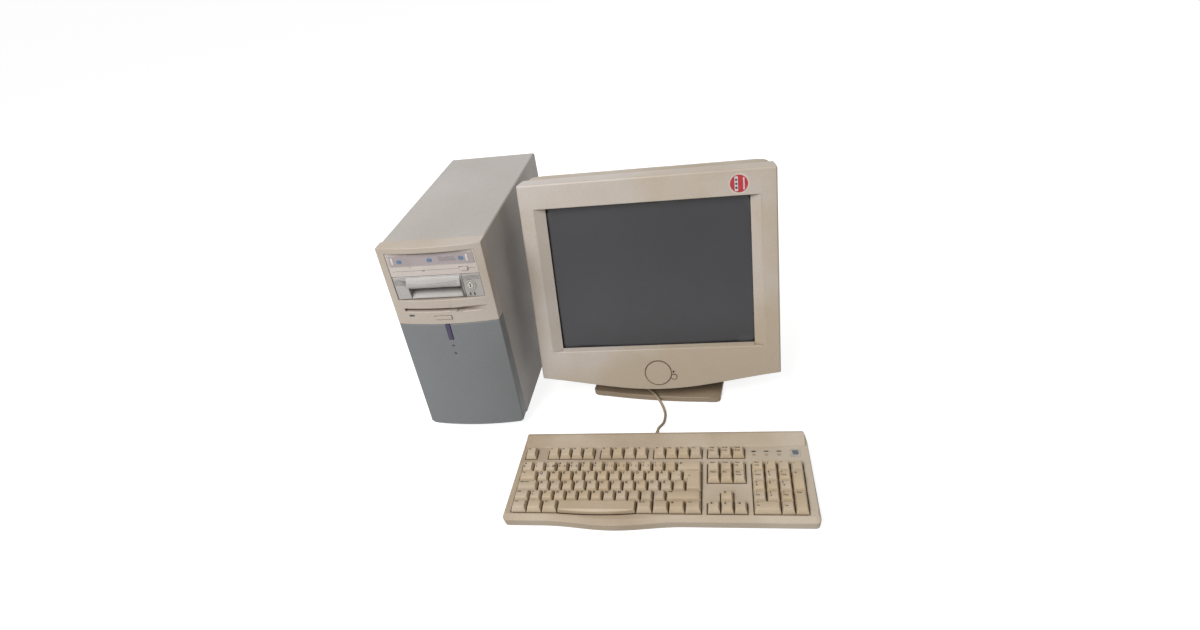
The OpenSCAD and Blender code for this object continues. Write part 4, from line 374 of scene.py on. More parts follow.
for node, solid in NODES.items():
    for holder in solid.material_slots:
        holder.material = finish_of(node)
cord.data.materials.append(FINISH["cord_plastic"])
print("solids with a finish:", len(NODES))

# %% [markdown]
# ## Moulded edges
#
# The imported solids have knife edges, and nothing moulded or folded has. Each visible shell is
# copied, its triangles are paired into larger flat faces, and the Bevel modifier rounds the edges
# that have room for it. An edge whose neighbours are shorter than the rounding stays sharp, so
# that no fold turns inside out. Weighted Normal then lets the large faces decide the shading. The
# solid stays underneath for the motion and is hidden.

# %% Helpers: apply a modifier, use a tool of edit mode
def apply(piece, kind, **settings):
    """Adds one modifier and applies it."""
    pick(piece)
    made = piece.modifiers.new(kind.lower(), kind)
    for key, value in settings.items():
        setattr(made, key, value)
    bpy.ops.object.modifier_apply(modifier=made.name)


def edit(tool, **settings):
    """Uses a tool of edit mode on the whole of the active piece."""
    bpy.ops.object.mode_set(mode="EDIT")
    bpy.ops.mesh.select_all(action="SELECT")
    tool(**settings)
    bpy.ops.object.mode_set(mode="OBJECT")

# %% Helpers: copy a solid, show a piece in its place
MERGE = 2e-6  # metres between points that are one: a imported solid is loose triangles


def copied(node, name):
    """A copy of a solid with its triangles merged, picked and ready to be shaped."""
    piece = placed(name, NODES[node].data.copy())
    pick(piece)
    edit(bpy.ops.mesh.remove_doubles, threshold=MERGE)
    return piece


def stands_for(piece, node):
    """Shows a piece in place of a solid, on the same body."""
    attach(piece, BODY_OF[node])
    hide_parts(node)

# %% Helper: mark the edges that can be rounded
CORNER = radians(20)  # between two faces, from which their edge is rounded
STRAIGHT_ON = 0.9  # cosine of the turn from one edge to the next, as one line
ROOM = 2.1  # width that a rounding needs, in radii


def sharp(edge):
    """True where two faces meet at a corner."""
    return len(edge.link_faces) == 2 and edge.calc_face_angle(0) > CORNER


def roomy(edge, radius):
    """True where the faces beside an edge are wide enough to take its rounding."""
    along = (edge.verts[1].co - edge.verts[0].co).normalized()
    for vert in edge.verts:
        for other in vert.link_edges:
            way = (other.other_vert(vert).co - vert.co).normalized()
            goes_on = sharp(other) and abs(way.dot(along)) > STRAIGHT_ON
            if other is not edge and not goes_on and other.calc_length() < ROOM * radius:
                return False
    return True


def mark_edges(mesh, radius, inner):
    """Gives a bevel weight of one to sharp edges with room, those of inner corners if asked."""
    work = bmesh.new()
    work.from_mesh(mesh)
    weight = work.edges.layers.float.new("bevel_weight_edge")
    found = [e for e in work.edges if sharp(e) and roomy(e, radius) and (inner or e.is_convex)]
    for edge in found:
        edge[weight] = 1.0
    work.to_mesh(mesh)
    work.free()
    return len(found)

# %% Helper: the softened copy of a solid
TIGHT = {"kb_bottom_case"}  # the folding feet need the inner corners of their pockets
LARGE_FIRST = {"mode": "FACE_AREA", "weight": 50, "keep_sharp": True}


def softened(node, radius, steps=2, crease=20):
    """A copy of a solid with edges rounded in millimetres, crisp at more than crease degrees."""
    piece = copied(node, node + "_soft")
    edit(bpy.ops.mesh.tris_convert_to_quads, face_threshold=0.01, shape_threshold=pi)
    smooth(crease)
    count = mark_edges(piece.data, radius * MM, node not in TIGHT)
    apply(piece, "BEVEL", width=radius * MM, segments=steps, limit_method="WEIGHT",
          use_clamp_overlap=False, loop_slide=False)
    apply(piece, "WEIGHTED_NORMAL", **LARGE_FIRST)
    stands_for(piece, node)
    print(node, "edges rounded:", count)
    return piece

# %% The shells and fronts, each with the radius its edges have
RADII = {
    0.3: "rack_lock", 0.4: "cd_drive cd_tray cord_relief keyboard_plug kb_pads",
    0.5: "cd_eject_button rack_frame floppy_eject_button kb_foot_left kb_foot_right",
    0.6: "power_button monitor_power_button swivel_disc kb_bottom_case pedestal_feet",
    0.8: "menu_dial tower_feet", 0.9: "front_bezel", 1.0: "tower_cover kb_top_case",
    1.2: "lower_panel monitor_bezel monitor_housing pedestal_base", 1.5: "rack_drawer",
}
CREASES = {"front_bezel": 5}  # its bowed front is crisp already where it turns a little
SHELLS = {node: softened(node, radius, crease=CREASES.get(node, 20))
          for radius, nodes in RADII.items() for node in nodes.split()}

# %% [markdown]
# The raised band at the back of the keyboard stops short of both corners and leaves a step with a
# slit there. A wedge closes it at each corner: the hull of the case's own points around it.

# %% The keyboard's back corners
DEPTHS, HEIGHTS = (-0.2296, -0.2), (0.0245, 0.04)  # reach of a corner, in metres
WEDGE_EDGE, CASE = 0.5, "kb_top_case"


def wedge(name, widths):
    """The convex hull of the case's points in a corner, its edges rounded."""
    piece = copied(CASE, name)
    box = widths, DEPTHS, HEIGHTS
    work = bmesh.new()
    work.from_mesh(piece.data)
    far = [v for v in work.verts if not all(a < c < b for c, (a, b) in zip(v.co, box))]
    bmesh.ops.delete(work, geom=far, context="VERTS")
    work.to_mesh(piece.data)
    work.free()
    edit(bpy.ops.mesh.convex_hull, use_existing_faces=False)
    smooth(30)
    apply(piece, "BEVEL", width=WEDGE_EDGE * MM, segments=2, limit_method="ANGLE",
          angle_limit=radians(30))
    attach(piece, BODY_OF[CASE])
    print(name, "has", len(piece.data.polygons), "faces")


wedge("kb_corner_right", (0.313, 0.33))
wedge("kb_corner_left", (-0.136, -0.119))

# %% [markdown]
# ## Keys
#
# A keycap of this kind is a hollow tapered shell with a top that is scooped from side to side and
# steeper at its front than at its back. It is modelled once for each size: a cube, its top face
# drawn in, the scoop pressed into the top by subdividing it and lowering its middle, and all
# edges rounded. The copies then go to their places on the sloping deck and are joined into
# the row that is pressed as one. Each key gets its own tone, because keys yellow apart.

# %% Places of the keys
PITCH = 19.05
ROWS = [i * PITCH for i in range(5)] + [107.0]  # from the modifier keys to the function keys
FAR, UPPER, HOME, NEAR = 1.6, 1.1, 0.3, -0.5  # how much a top rises to its back
RISES = NEAR, NEAR, HOME, UPPER, FAR, FAR
NAV_X, PAD_X = 294.05, 360.1
KEY_GAP, KEY_BASE, KEY_TOP = 0.45, -1.0, 8.4
FRONT_RUN, BACK_RUN, SIDE_RUN = 3.9, 1.6, 3.9  # how far a top is drawn in


def row(x, level, widths):
    """Keys of one row from a place rightwards, with widths in key pitches."""
    keys = []
    for w in widths:
        keys.append((x, ROWS[level], w * PITCH, PITCH, RISES[level]))
        x += w * PITCH
    return keys


KEYS = {
    "function_keys": row(0, 5, [1]) + row(2 * PITCH, 5, [1] * 4) + row(6.5 * PITCH, 5, [1] * 4)
    + row(11 * PITCH, 5, [1] * 4),
    "number_keys": row(0, 4, [1] * 13 + [2]),
    "upper_letter_keys": row(0, 3, [1.5] + [1] * 12),
    "home_letter_keys": row(0, 2, [1.75] + [1] * 12),
    "lower_letter_keys": row(0, 1, [1.25] + [1] * 11 + [2.75]),
    "modifier_keys": row(0, 0, [1.25] * 3) + row(10 * PITCH, 0, [1.25] * 4),
    "navigation_keys": row(NAV_X, 5, [1] * 3) + row(NAV_X, 4, [1] * 3) + row(NAV_X, 3, [1] * 3),
    "arrow_keys": row(NAV_X, 0, [1] * 3) + row(NAV_X + PITCH, 1, [1]),
    "numpad_keys": row(PAD_X, 4, [1] * 4) + row(PAD_X, 3, [1] * 3) + row(PAD_X, 2, [1] * 3)
    + row(PAD_X, 1, [1] * 3) + row(PAD_X, 0, [2, 1])
    + [(PAD_X + 3 * PITCH, ROWS[2], PITCH, 2 * PITCH, HOME),
       (PAD_X + 3 * PITCH, 0, PITCH, 2 * PITCH, NEAR)],
}
print("keys:", sum(len(keys) for keys in KEYS.values()))

# %% Helper: the outline of a cap
SCOOP, CAP_EDGE, CAP_CUTS, TOP_FROM = 0.55, 0.55, 5, 5
SKIRT = 3.0  # part of a side's run that lies lower than the cap's base


def cap_outline(x0, y0, w, d, tilt):
    """Lowest and highest corner of the base, and of the top, for a key's cell."""
    side = SIDE_RUN * (KEY_TOP - KEY_BASE) / (KEY_TOP + SKIRT - KEY_BASE)
    low, high = (x0 + KEY_GAP / 2, y0 + KEY_GAP / 2), (x0 + w - KEY_GAP / 2, y0 + d - KEY_GAP / 2)
    top_low, top_high = (low[0] + side, low[1] + FRONT_RUN), (high[0] - side, high[1] - BACK_RUN)
    return low, high, top_low, top_high, KEY_TOP - tilt / 2, KEY_TOP + tilt / 2


def scoop(x, half):
    """How far the top is pressed in, across its width: a shallow cylinder."""
    return SCOOP * max(0.0, 1 - (x / half) ** 2)

# %% Helper: one tapered and scooped cap
def make_cap(w, d, tilt):
    """One cap in the middle of its cell, in millimetres of the deck, with a scooped top."""
    low, high, top_low, top_high, front_z, back_z = cap_outline(-w / 2, -d / 2, w, d, tilt)
    bpy.ops.mesh.primitive_cube_add(size=1)
    cap = bpy.context.object
    for vert in cap.data.vertices:
        right, back, up = (c > 0 for c in vert.co)
        near, far = (top_low, top_high) if up else (low, high)
        vert.co.x = far[0] if right else near[0]
        vert.co.y = far[1] if back else near[1]
        vert.co.z = (back_z if back else front_z) if up else KEY_BASE
    bpy.ops.object.mode_set(mode="EDIT")
    bpy.ops.mesh.select_all(action="DESELECT")
    bpy.ops.object.mode_set(mode="OBJECT")
    for line in cap.data.edges:
        ends = [cap.data.vertices[i].co for i in line.vertices]
        line.select = abs(ends[0].y - ends[1].y) < 0.01 and abs(ends[0].x - ends[1].x) > 1
    bpy.ops.object.mode_set(mode="EDIT")
    bpy.ops.mesh.select_mode(type="EDGE")
    bpy.ops.mesh.subdivide(number_cuts=CAP_CUTS)
    bpy.ops.object.mode_set(mode="OBJECT")
    half = (top_high[0] - top_low[0]) / 2
    for vert in cap.data.vertices:
        if vert.co.z > TOP_FROM:
            vert.co.z -= scoop(vert.co.x, half)
    apply(cap, "BEVEL", width=CAP_EDGE, segments=2, limit_method="ANGLE",
          angle_limit=radians(28))
    smooth(40)
    return cap

# %% Helpers: place copies of the caps, each with its tone
CAPS = {}
TONES = random.Random(7)
WIDE, TAB = 40, (PITCH * 1.5, PITCH)  # keys that have yellowed more
YELLOWING = (0.03, 0.08, 0.19)  # what red, green and blue lose


def give_tone(piece, tone):
    """Writes one tone over the whole of a piece."""
    layer = piece.data.color_attributes.new("tone", "FLOAT_COLOR", "POINT")
    for item in layer.data:
        item.color = tone


def place_cap(key, name):
    """A copy of the cap that fits a key, at its place in the frame, with a tone of its own."""
    x, y, w, d, tilt = key
    size = (round(w, 2), round(d, 2), tilt)
    if size not in CAPS:
        CAPS[size] = make_cap(w, d, tilt)
    copy = placed(name, CAPS[size].data.copy())
    copy.data.transform(DECK @ Matrix.Translation((x + w / 2, y + d / 2, 0)))
    warm = 0.8 * TONES.random() ** 2
    if w > WIDE or (w, d) == TAB:
        warm += 0.5
    level = 1 + TONES.uniform(-0.03, 0.03)
    give_tone(copy, (*(level * (1 - loss * warm) for loss in YELLOWING), 1))
    return copy

# %% Helpers: join pieces, dress them
def join(pieces, name):
    """Joins pieces into the first one and names it."""
    pick(pieces[0])
    for piece in pieces[1:]:
        piece.select_set(True)
    bpy.ops.object.join()
    pieces[0].name = name
    return pieces[0]


def dress(piece, node, look):
    """Gives a piece its finish and the body it moves with."""
    piece.data.materials.clear()
    piece.data.materials.append(FINISH[look])
    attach(piece, BODY_OF[node])

# %% The rows of keys
for node, keys in KEYS.items():
    caps = join([place_cap(k, f"{node}_{i}") for i, k in enumerate(keys)], node + "_caps")
    dress(caps, node, "key_plastic")
    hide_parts(node)
print("sizes of cap:", len(CAPS))
for template in CAPS.values():
    bpy.data.objects.remove(template)

# %% [markdown]
# The Enter key and the space bar have outlines of their own: an upright key with a wider head,
# and a long bar that bows towards the hand. Their solids already have those shapes, so they are
# softened like the shells.

# %% Enter key and space bar
give_tone(softened("enter_key", 0.55), (1.0, 0.98, 0.94, 1))
give_tone(softened("space_bar", 0.9, 3), (0.9, 0.88, 0.84, 1))

# %% [markdown]
# ## Legends
#
# The letters and signs are printed on the upper left of each key. Text is turned into meshes, a
# hair thick so that they are closed, and every point is laid on the scooped top. Two signs stand
# one over the other, a third at the right.

# %% What each key says
SIGNS = {
    "function_keys": ["Esc"] + [f"F{n}" for n in range(1, 13)],
    "number_keys": ('½|§ !|1 "|2|@ #|3|£ ¤|4|$ %|5 &|6 /|7|{ (|8|[ '
                    ")|9|] =|0|} ?|+|\\ `|´ ←").split(),
    "upper_letter_keys": ["Tab", *"QWERTYUIOPÅ", "^|¨|~"],
    "home_letter_keys": ["Caps Lock", *"ASDFGHJKLÖÄ", "*|'"],
    "lower_letter_keys": ["Shift", ">|<", *"ZXCVBNM", ";|,", ":|.", "_|-", "Shift"],
    "modifier_keys": ["Ctrl", "", "Alt", "Alt Gr", "", "≡", "Ctrl"],
    "navigation_keys": ("Print|Scrn Scroll|Lock Pause|Break Insert Home Page|Up "
                        "Delete End Page|Down").split(),
    "arrow_keys": list("←↓→↑"),
    "numpad_keys": ("Num|Lock / * - 7|Home 8|↑ 9|PgUp 4|← 5 6|→ "
                    "1|End 2|↓ 3|PgDn 0|Ins .|Del + Enter").split(),
    "enter_key": ["←"],
}
print("legends:", sum(len([s for s in words if s]) for words in SIGNS.values()))

# %% Helpers: a printed word as a mesh, and the top it lies on
INK = 0.09  # thickness of the print, of which a part is sunk in the plastic
ABOVE = 0.025  # height of its middle over the top
BOLDER = 0.034  # how far the outline of a letter is pushed out, of its size
WELD = 1e-4


def printed(word, size):
    """A word as a thin closed film, in millimetres, with its lower left corner at zero."""
    bpy.ops.object.text_add()
    words = bpy.context.object
    words.data.body = word
    words.data.size = size
    words.data.resolution_u = 2
    words.data.offset = BOLDER * size
    words.data.extrude = INK / 2
    pick(words)
    bpy.ops.object.convert(target="MESH")
    edit(bpy.ops.mesh.remove_doubles, threshold=WELD)
    return bpy.context.object


def on_top(key, x, y):
    """Height of a key's scooped top at a place of the deck."""
    low, high, top_low, top_high, front_z, back_z = cap_outline(*key)
    share = (y - top_low[1]) / (top_high[1] - top_low[1])
    middle, half = (top_low[0] + top_high[0]) / 2, (top_high[0] - top_low[0]) / 2
    return front_z + share * (back_z - front_z) - scoop(x - middle, half)


def print_on(key, word, size, x, y):
    """A word whose lower left corner is at a place on the top of a key."""
    sign = printed(word, size)
    for vert in sign.data.vertices:
        vert.co.x += x
        vert.co.y += y
        vert.co.z += on_top(key, vert.co.x, vert.co.y) + ABOVE
    sign.data.transform(DECK)
    return sign

# %% Helper: all the signs of one key
LETTER, SIGN, WORD = 6.2, 4.6, 3.4  # sizes of type
TALL = 0.72  # height of a capital, of its size
LEFT_MARGIN, BACK_MARGIN = 0.9, 1.1
SECOND_DOWN, THIRD_DOWN, THIRD_IN = 4.9, 5.0, 3.6


def print_key(key, text):
    """The signs of one key: first line over second, and the third at the lower right."""
    if not text:
        return []
    low, high, top_low, top_high, front_z, back_z = cap_outline(*key)
    parts = text.split("|")
    left = top_low[0] + LEFT_MARGIN
    size = LETTER if len(text) == 1 else (SIGN if max(map(len, parts)) == 1 else WORD)
    first = top_high[1] - BACK_MARGIN - TALL * size
    made = [print_on(key, parts[0], size, left, first)]
    if len(parts) > 1:
        second = SIGN if len(parts[1]) == 1 else WORD
        made.append(print_on(key, parts[1], second, left, first - SECOND_DOWN))
    if len(parts) > 2:
        made.append(print_on(key, parts[2], SIGN, top_high[0] - THIRD_IN, first - THIRD_DOWN))
    return made

# %% The legends
finish("key_ink", "#2e2722", "#3e342b", drift=300, rough=(0.5, 0.6), dirt_and_shade=0.0)
ENTER = (13.75 * PITCH, ROWS[2] - 6, 1.25 * PITCH, 2 * PITCH, UPPER)
for node, words in SIGNS.items():
    made = []
    for key, text in zip(KEYS.get(node, [ENTER]), words):
        made += print_key(key, text)
    dress(join(made, node + "_print"), node, "key_ink")

# %% [markdown]
# ## Small things on the tower
#
# Labels, lamps and lines are thin pieces that lie on a moulded face. A ray finds that face, so
# that each of them is seated on what carries it.

# %% Helper: where the face of a solid is
FACES = {}
REACH = 80  # millimetres in front of a unit, where the rays start


def face_at(node, axes, x, z):
    """The depth of a solid's front face in a unit's own axes, found with a ray from the front."""
    if node not in FACES:
        mesh = NODES[node].data
        points, faces = [v.co for v in mesh.vertices], [p.vertices for p in mesh.polygons]
        FACES[node] = BVHTree.FromPolygons(points, faces)
    start = axes @ Vector((x, -REACH, z))
    way = (axes.to_3x3() @ Vector((0, 1, 0))).normalized()
    place = FACES[node].ray_cast(start, way)[0]
    return (axes.inverted() @ place).y if place else None

# %% Helpers: a thin plate, and the dress of small pieces
WHOLE = 0.499  # of a plate's width: the largest radius that its corners can have


def plate(axes, place, size, corner, thick, edge=0.12):
    """A thin plate with round corners that faces the front; place is the middle of its back."""
    bpy.ops.mesh.primitive_cube_add(size=1)
    piece = bpy.context.object
    for vert in piece.data.vertices:
        vert.co = (vert.co.x * size[0], (vert.co.y - 0.5) * thick, vert.co.z * size[1])
    mark = piece.data.attributes.new("bevel_weight_edge", "FLOAT", "EDGE")
    for line in piece.data.edges:
        ends = [piece.data.vertices[i].co for i in line.vertices]
        mark.data[line.index].value = float(abs(ends[0].y - ends[1].y) > thick / 2)
    apply(piece, "BEVEL", width=min(corner, WHOLE * min(size)), segments=4, limit_method="WEIGHT")
    apply(piece, "BEVEL", width=edge, segments=1, limit_method="ANGLE",
          angle_limit=radians(60))
    smooth(40)
    piece.data.transform(axes @ Matrix.Translation(place))
    return piece


def add_ware(name, pieces, node, look):
    """Makes small pieces one, dresses it and prints its size."""
    piece = join(pieces, name)
    dress(piece, node, look)
    print(name, [round(v * 1000, 1) for v in piece.dimensions])

# %% [markdown]
# The disc drive's door carries a grey strip with two pale guide tabs, three round blue marks and
# a bare label. In the gap under it are a lamp and a pinhole, whose shade is painted as a small
# dark plate.

# %% The disc drive's strip
finish("door_strip", "#aca1a1", "#a29797", drift=20, specks=0.06, rough=(0.3, 0.42))
finish("blue_mark", "#5c7590", "#6a8199", drift=200, specks=0.1, rough=(0.4, 0.5))
finish("bare_label", "#918a8c", "#98908f", drift=100, specks=0.12, rough=(0.3, 0.4))
finish("pale_tab", "#d9d3d0", "#cfc8c4", drift=80, rough=(0.3, 0.4))
DOOR_Y = face_at("cd_tray", TOWER, 60, 342)
STRIP_THICK = 0.3
ON_STRIP = DOOR_Y - STRIP_THICK
strip = plate(TOWER, (88.05, DOOR_Y, 342.3), (139.5, 18.6), 0.8, STRIP_THICK)
add_ware("door_strip", [strip], "cd_tray", "door_strip")
tabs = [plate(TOWER, (x, ON_STRIP, 342.6), (3.6, 12.5), 1.5, 0.5) for x in (23.1, 147.8)]
add_ware("door_tabs", tabs, "cd_tray", "pale_tab")
dots = [plate(TOWER, (x, ON_STRIP, z), (9, 7), 3.2, 0.12, 0.04)
        for x, z in ((34.7, 340.6), (85.9, 341), (138.2, 341.8))]
add_ware("blue_marks", dots, "cd_tray", "blue_mark")
label = plate(TOWER, (115.1, ON_STRIP, 342), (27.6, 8), 0.6, 0.12, 0.04)
add_ware("label", [label], "cd_tray", "bare_label")

# %% Lamps and marks of the drives
DRIVE_Y = face_at("cd_drive", TOWER, 60, 326.5)
# The first plate is the drive's lamp window. The second, small and round, is painted shade in the
# eject pinhole.
lamp_and_pinhole_shade = [plate(TOWER, (70.7, DRIVE_Y, 322.6), (4.6, 1.3), 0.5, 0.25),
         plate(TOWER, (49.3, DRIVE_Y, 329.3), (1.3, 1.3), 0.6, 0.15)]
add_ware("drive_lamp_and_pinhole_shade", lamp_and_pinhole_shade, "cd_drive", LAMP)
RACK_Y = face_at("rack_frame", TOWER, 150, 284)
rack_lamps = [plate(TOWER, (x, RACK_Y, z), (1.9, 5), 0.7, 0.35)
              for x, z in ((138.4, 276.8), (145.4, 276.6))]
add_ware("rack_lamps", rack_lamps, "rack_frame", LAMP)
BEZEL_Y = face_at("front_bezel", TOWER, 40, 241.8)
SUNK = 1.2
floppy_lamp = plate(TOWER, (29.2, BEZEL_Y + SUNK, 241.8), (8.2, 2.0), 1.2, 0.3)
add_ware("floppy_lamp", [floppy_lamp], "front_bezel", LAMP)
print("faces at", [round(v, 2) for v in (DOOR_Y, DRIVE_Y, RACK_Y, BEZEL_Y)])

# %% [markdown]
# The drawer's front has a bundle of fine engraved lines that run in waves from the left edge over
# the lip to the lock. Grooves this fine would be lost in the mesh of the frame, so each is a thin
# curve with closed ends, laid on the face and turned into a mesh.

# %% Helper: one engraved line
finish("engraved_line", "#64605d", "#6f6b67", drift=100, rough=(0.5, 0.6), dirt_and_shade=0.2)


def engraved(points, radius=0.32):
    """A fine line through points of the tower's front, as a mesh."""
    piece = run_through("line", points, 0)
    thicken(piece, radius)
    piece.data.transform(TOWER)
    return piece

# %% Engraved lines on the drawer and its frame
BUNDLES = [  # count, height of the first, step down, and each wave as places and rises
    (5, 306.5, 2.1, ((15.5, 0), (22, 0.9), (30, -0.6), (36.8, -2.6))),
    (4, 308.6, 2.0, ((131.6, -0.8), (141, 0.2), (150, 0.9), (159.8, 0.6))),
]
waves = [engraved([(x, RACK_Y, top - step * i + rise) for x, rise in wave])
         for count, top, step, wave in BUNDLES for i in range(count)]
add_ware("rack_waves", waves, "rack_frame", "engraved_line")
SWELL = ((38, 0), (50, -1.3), (68, -1.9), (86, -1.4), (104, 0.2), (122, 2.4))
SWELLS, SWELL_TOP, SWELL_STEP, FINE = 4, 301.6, 2.1, 0.22
swells = []
for i in range(SWELLS):
    heights = [(x, SWELL_TOP - SWELL_STEP * i + rise) for x, rise in SWELL]
    points = [(x, face_at("rack_drawer", TOWER, x, z), z) for x, z in heights]
    swells.append(engraved(points, FINE))
add_ware("lip_waves", swells, "rack_drawer", "engraved_line")

# %% [markdown]
# ## The screen
#
# The tube's face is a piece of a large sphere, so it falls away behind the bezel towards its
# corners, and an empty gap would show there. On the real one a lip of the glass fills it. The
# face is copied and its rim is drawn forward, which leaves a third of the fall.

# %% Tube with its rim drawn forward
FACE_DEPTH, FACE_RADIUS, FALL_KEPT = 12.0, 1500.0, 0.3
FACE_CENTRE = Vector((0, FACE_DEPTH + FACE_RADIUS, 179.25))
ON_SPHERE = 0.3  # how near to the sphere the points of the face lie
tube = copied("picture_tube", "tube_face")
tube.data.transform(MONITOR.inverted())
front = [v for v in tube.data.vertices
         if abs((v.co - FACE_CENTRE).length - FACE_RADIUS) < ON_SPHERE]
for vert in front:
    vert.co.y = FACE_DEPTH + FALL_KEPT * (vert.co.y - FACE_DEPTH)
tube.data.transform(MONITOR)
smooth(20)
stands_for(tube, "picture_tube")
print("points of the face:", len(front), "of", len(tube.data.vertices))

# %% [markdown]
# ## Small things on the monitor and the keyboard
#
# A round sticker sits in the bezel's upper right corner: a pale backing, and on it a red disc
# with two upright white bands and three dark blue squares. Each colour is a layer of film, and
# the bezel is crowned there, so the depths beside the spot say how far the sticker leans.

# %% Helpers: a disc, and the lean of a face
finish("sticker_backing", "#cdc3b8", "#c4b9ad", drift=80, rough=(0.3, 0.4))
finish("sticker_red", "#b8323c", "#a82c36", drift=150, specks=0.08, rough=(0.3, 0.42), dirt_and_shade=0.2)
finish("sticker_white", "#cfc9c6", "#c4bdb9", drift=120, rough=(0.3, 0.4), dirt_and_shade=0.2)
finish("sticker_navy", "#232c4a", "#2a3350", drift=150, rough=(0.3, 0.4), dirt_and_shade=0.1)


def disc(axes, place, radius, thick):
    """A thin round disc that faces the front."""
    bpy.ops.mesh.primitive_circle_add(vertices=48, radius=radius, fill_type="NGON")
    piece = bpy.context.object
    for vert in piece.data.vertices:
        vert.co = (vert.co.x, 0, vert.co.y)
    apply(piece, "SOLIDIFY", thickness=thick, offset=0)
    edit(bpy.ops.mesh.normals_make_consistent, inside=False)
    piece.data.transform(axes @ Matrix.Translation(place))
    return piece


def lean_of(node, x, z, step):
    """How a face of the monitor leans, from the depths beside a place, and their mean."""
    left, right, low, high = [face_at(node, MONITOR, x + a * step, z + b * step)
                              for a, b in ((-1, 0), (1, 0), (0, -1), (0, 1))]
    turn = (Matrix.Rotation(atan2(right - left, 2 * step), 4, "Z")
            @ Matrix.Rotation(-atan2(high - low, 2 * step), 4, "X"))
    return turn, (left + right + low + high) / 4

# %% The sticker
SPOT, BESIDE = (149.2, 323.8), 4
SURROUND, FILM = "monitor_bezel", "pale_plastic"
SPOT_Y = face_at(SURROUND, MONITOR, *SPOT)
spot = (MONITOR @ Matrix.Translation((SPOT[0], SPOT_Y, SPOT[1]))
        @ lean_of(SURROUND, *SPOT, BESIDE)[0])
for name, *layer in ("sticker_backing", -0.05, 16.5, 0.2), ("sticker_red", -0.2, 13.8, 0.12):
    add_ware(name, [disc(spot, (0, layer[0], 0), *layer[1:])], SURROUND, name)
bands = [plate(spot, (x, -0.26, 0), (w, h), 0.8, 0.1, 0.03)
         for x, w, h in ((-4.2, 5.2, 23), (7.4, 2.2, 19))]
add_ware("sticker_bands", bands, SURROUND, "sticker_white")
squares = [plate(spot, (-4.2, -0.36, z), (3.2, 3.2), 0.5, 0.08, 0.02) for z in (-6.2, 0, 6.2)]
add_ware("sticker_squares", squares, SURROUND, "sticker_navy")
print("sticker on the face at", round(SPOT_Y, 2))

# %% [markdown]
# The dial and the power button sit in holes that are a little wider than they are. A fine dark
# brown ring lies in the mouth of each gap: painted shade in the gap.

# %% Rings of painted shade round the dial and the button
finish("gap_shade", "#6e5c48", "#5c4c3b", drift=120, specks=0.2, rough=(0.8, 0.9))
FROM_MIDDLE = 0.6  # of a button's radius: where the depths of its face are taken


def shade_ring(name, node, x, z, radius, width):
    """A thin dark ring in the gap round a round button, painted shade as deep as the button's own
    face.
    """
    turn, depth = lean_of(node, x, z, FROM_MIDDLE * radius)
    bpy.ops.mesh.primitive_torus_add(
        major_radius=radius, minor_radius=width / 2, major_segments=64, minor_segments=8,
        rotation=(radians(90), 0, 0))
    ring = bpy.context.object
    pick(ring)
    bpy.ops.object.transform_apply()
    bpy.ops.object.shade_smooth()
    ring.data.transform(MONITOR @ Matrix.Translation((x, depth, z)) @ turn)
    add_ware(name, [ring], SURROUND, "gap_shade")


shade_ring("dial_gap", "menu_dial", 0, 4.9, 22.6, 0.9)
shade_ring("button_gap_shade", "monitor_power_button", 26.8, -2.9, 4.7, 0.7)

# %% [markdown]
# On the keyboard's raised strip three short dark windows show the lock lamps, each with a faint
# square printed under it, and a small silver label is stuck beside them.

# %% Lamp windows and label of the keyboard
finish("silver_label", "#b5aea3", "#a9a297", drift=150, specks=0.1, rough=(0.25, 0.35), metal=0.3)
finish("label_square", "#5c6265", "#6b7174", drift=200, specks=0.15, rough=(0.3, 0.4))
finish("faint_print", "#a3937d", "#9c8b75", drift=200, rough=(0.5, 0.6))
LYING = DECK @ Matrix.Rotation(radians(-90), 4, "X")
LOCKS_X, LABEL = (365, 384, 403), (427.5, 117.5)


def lying(x, y, size, corner, thick):
    """A thin plate that lies on the deck at a place, with its face up."""
    back = face_at(CASE, LYING, x, y + 4)
    return plate(LYING, (x, back, y), size, corner, thick, 0.06)


windows = [lying(x, 121.3, (6.4, 1.7), 0.3, 0.35) for x in LOCKS_X]
add_ware("lock_windows", windows, CASE, LAMP)
marks = [lying(x, 114.2, (5.2, 4.2), 0.3, 0.12) for x in LOCKS_X]
add_ware("lock_marks", marks, CASE, "faint_print")
label = lying(*LABEL, (16, 16), 2.2, 0.3)
add_ware("keyboard_label", [label], CASE, "silver_label")
on_label = face_at(CASE, LYING, *LABEL) - 0.25
square = plate(LYING, (427.5, on_label, 118.3), (9, 9), 1.2, 0.15, 0.03)
add_ware("label_square", [square], CASE, "label_square")

# %% [markdown]
# ## The backs
#
# The boards end in sockets at the back, and a socket isn't green: its body is black plastic, its
# shell and pins are tinned. Each board is copied, and a face whose middle lies in a socket's box
# takes that socket's finish, so one solid can show all the materials it is made of.

# %% Helpers: a solid in several finishes, and the blades of an inlet
def parted(node, axes, regions):
    """A copy of a solid whose faces take the finish of the last region that holds their middle."""
    piece = copied(node, node + "_parts")
    smooth(8)
    looks = [finish_of(node)] + [FINISH[look] for look, low, high in regions]
    piece.data.materials.clear()
    for look in dict.fromkeys(looks):
        piece.data.materials.append(look)
    into = axes.inverted()
    for face in piece.data.polygons:
        middle = into @ face.center
        held = [FINISH[look] for look, low, high in regions
                if all(a <= c <= b for a, c, b in zip(low, middle, high))]
        face.material_index = list(piece.data.materials).index(held[-1] if held else looks[0])
    apply(piece, "WEIGHTED_NORMAL", **LARGE_FIRST)
    stands_for(piece, node)
    print(node, "in", len(piece.data.materials), "finishes")


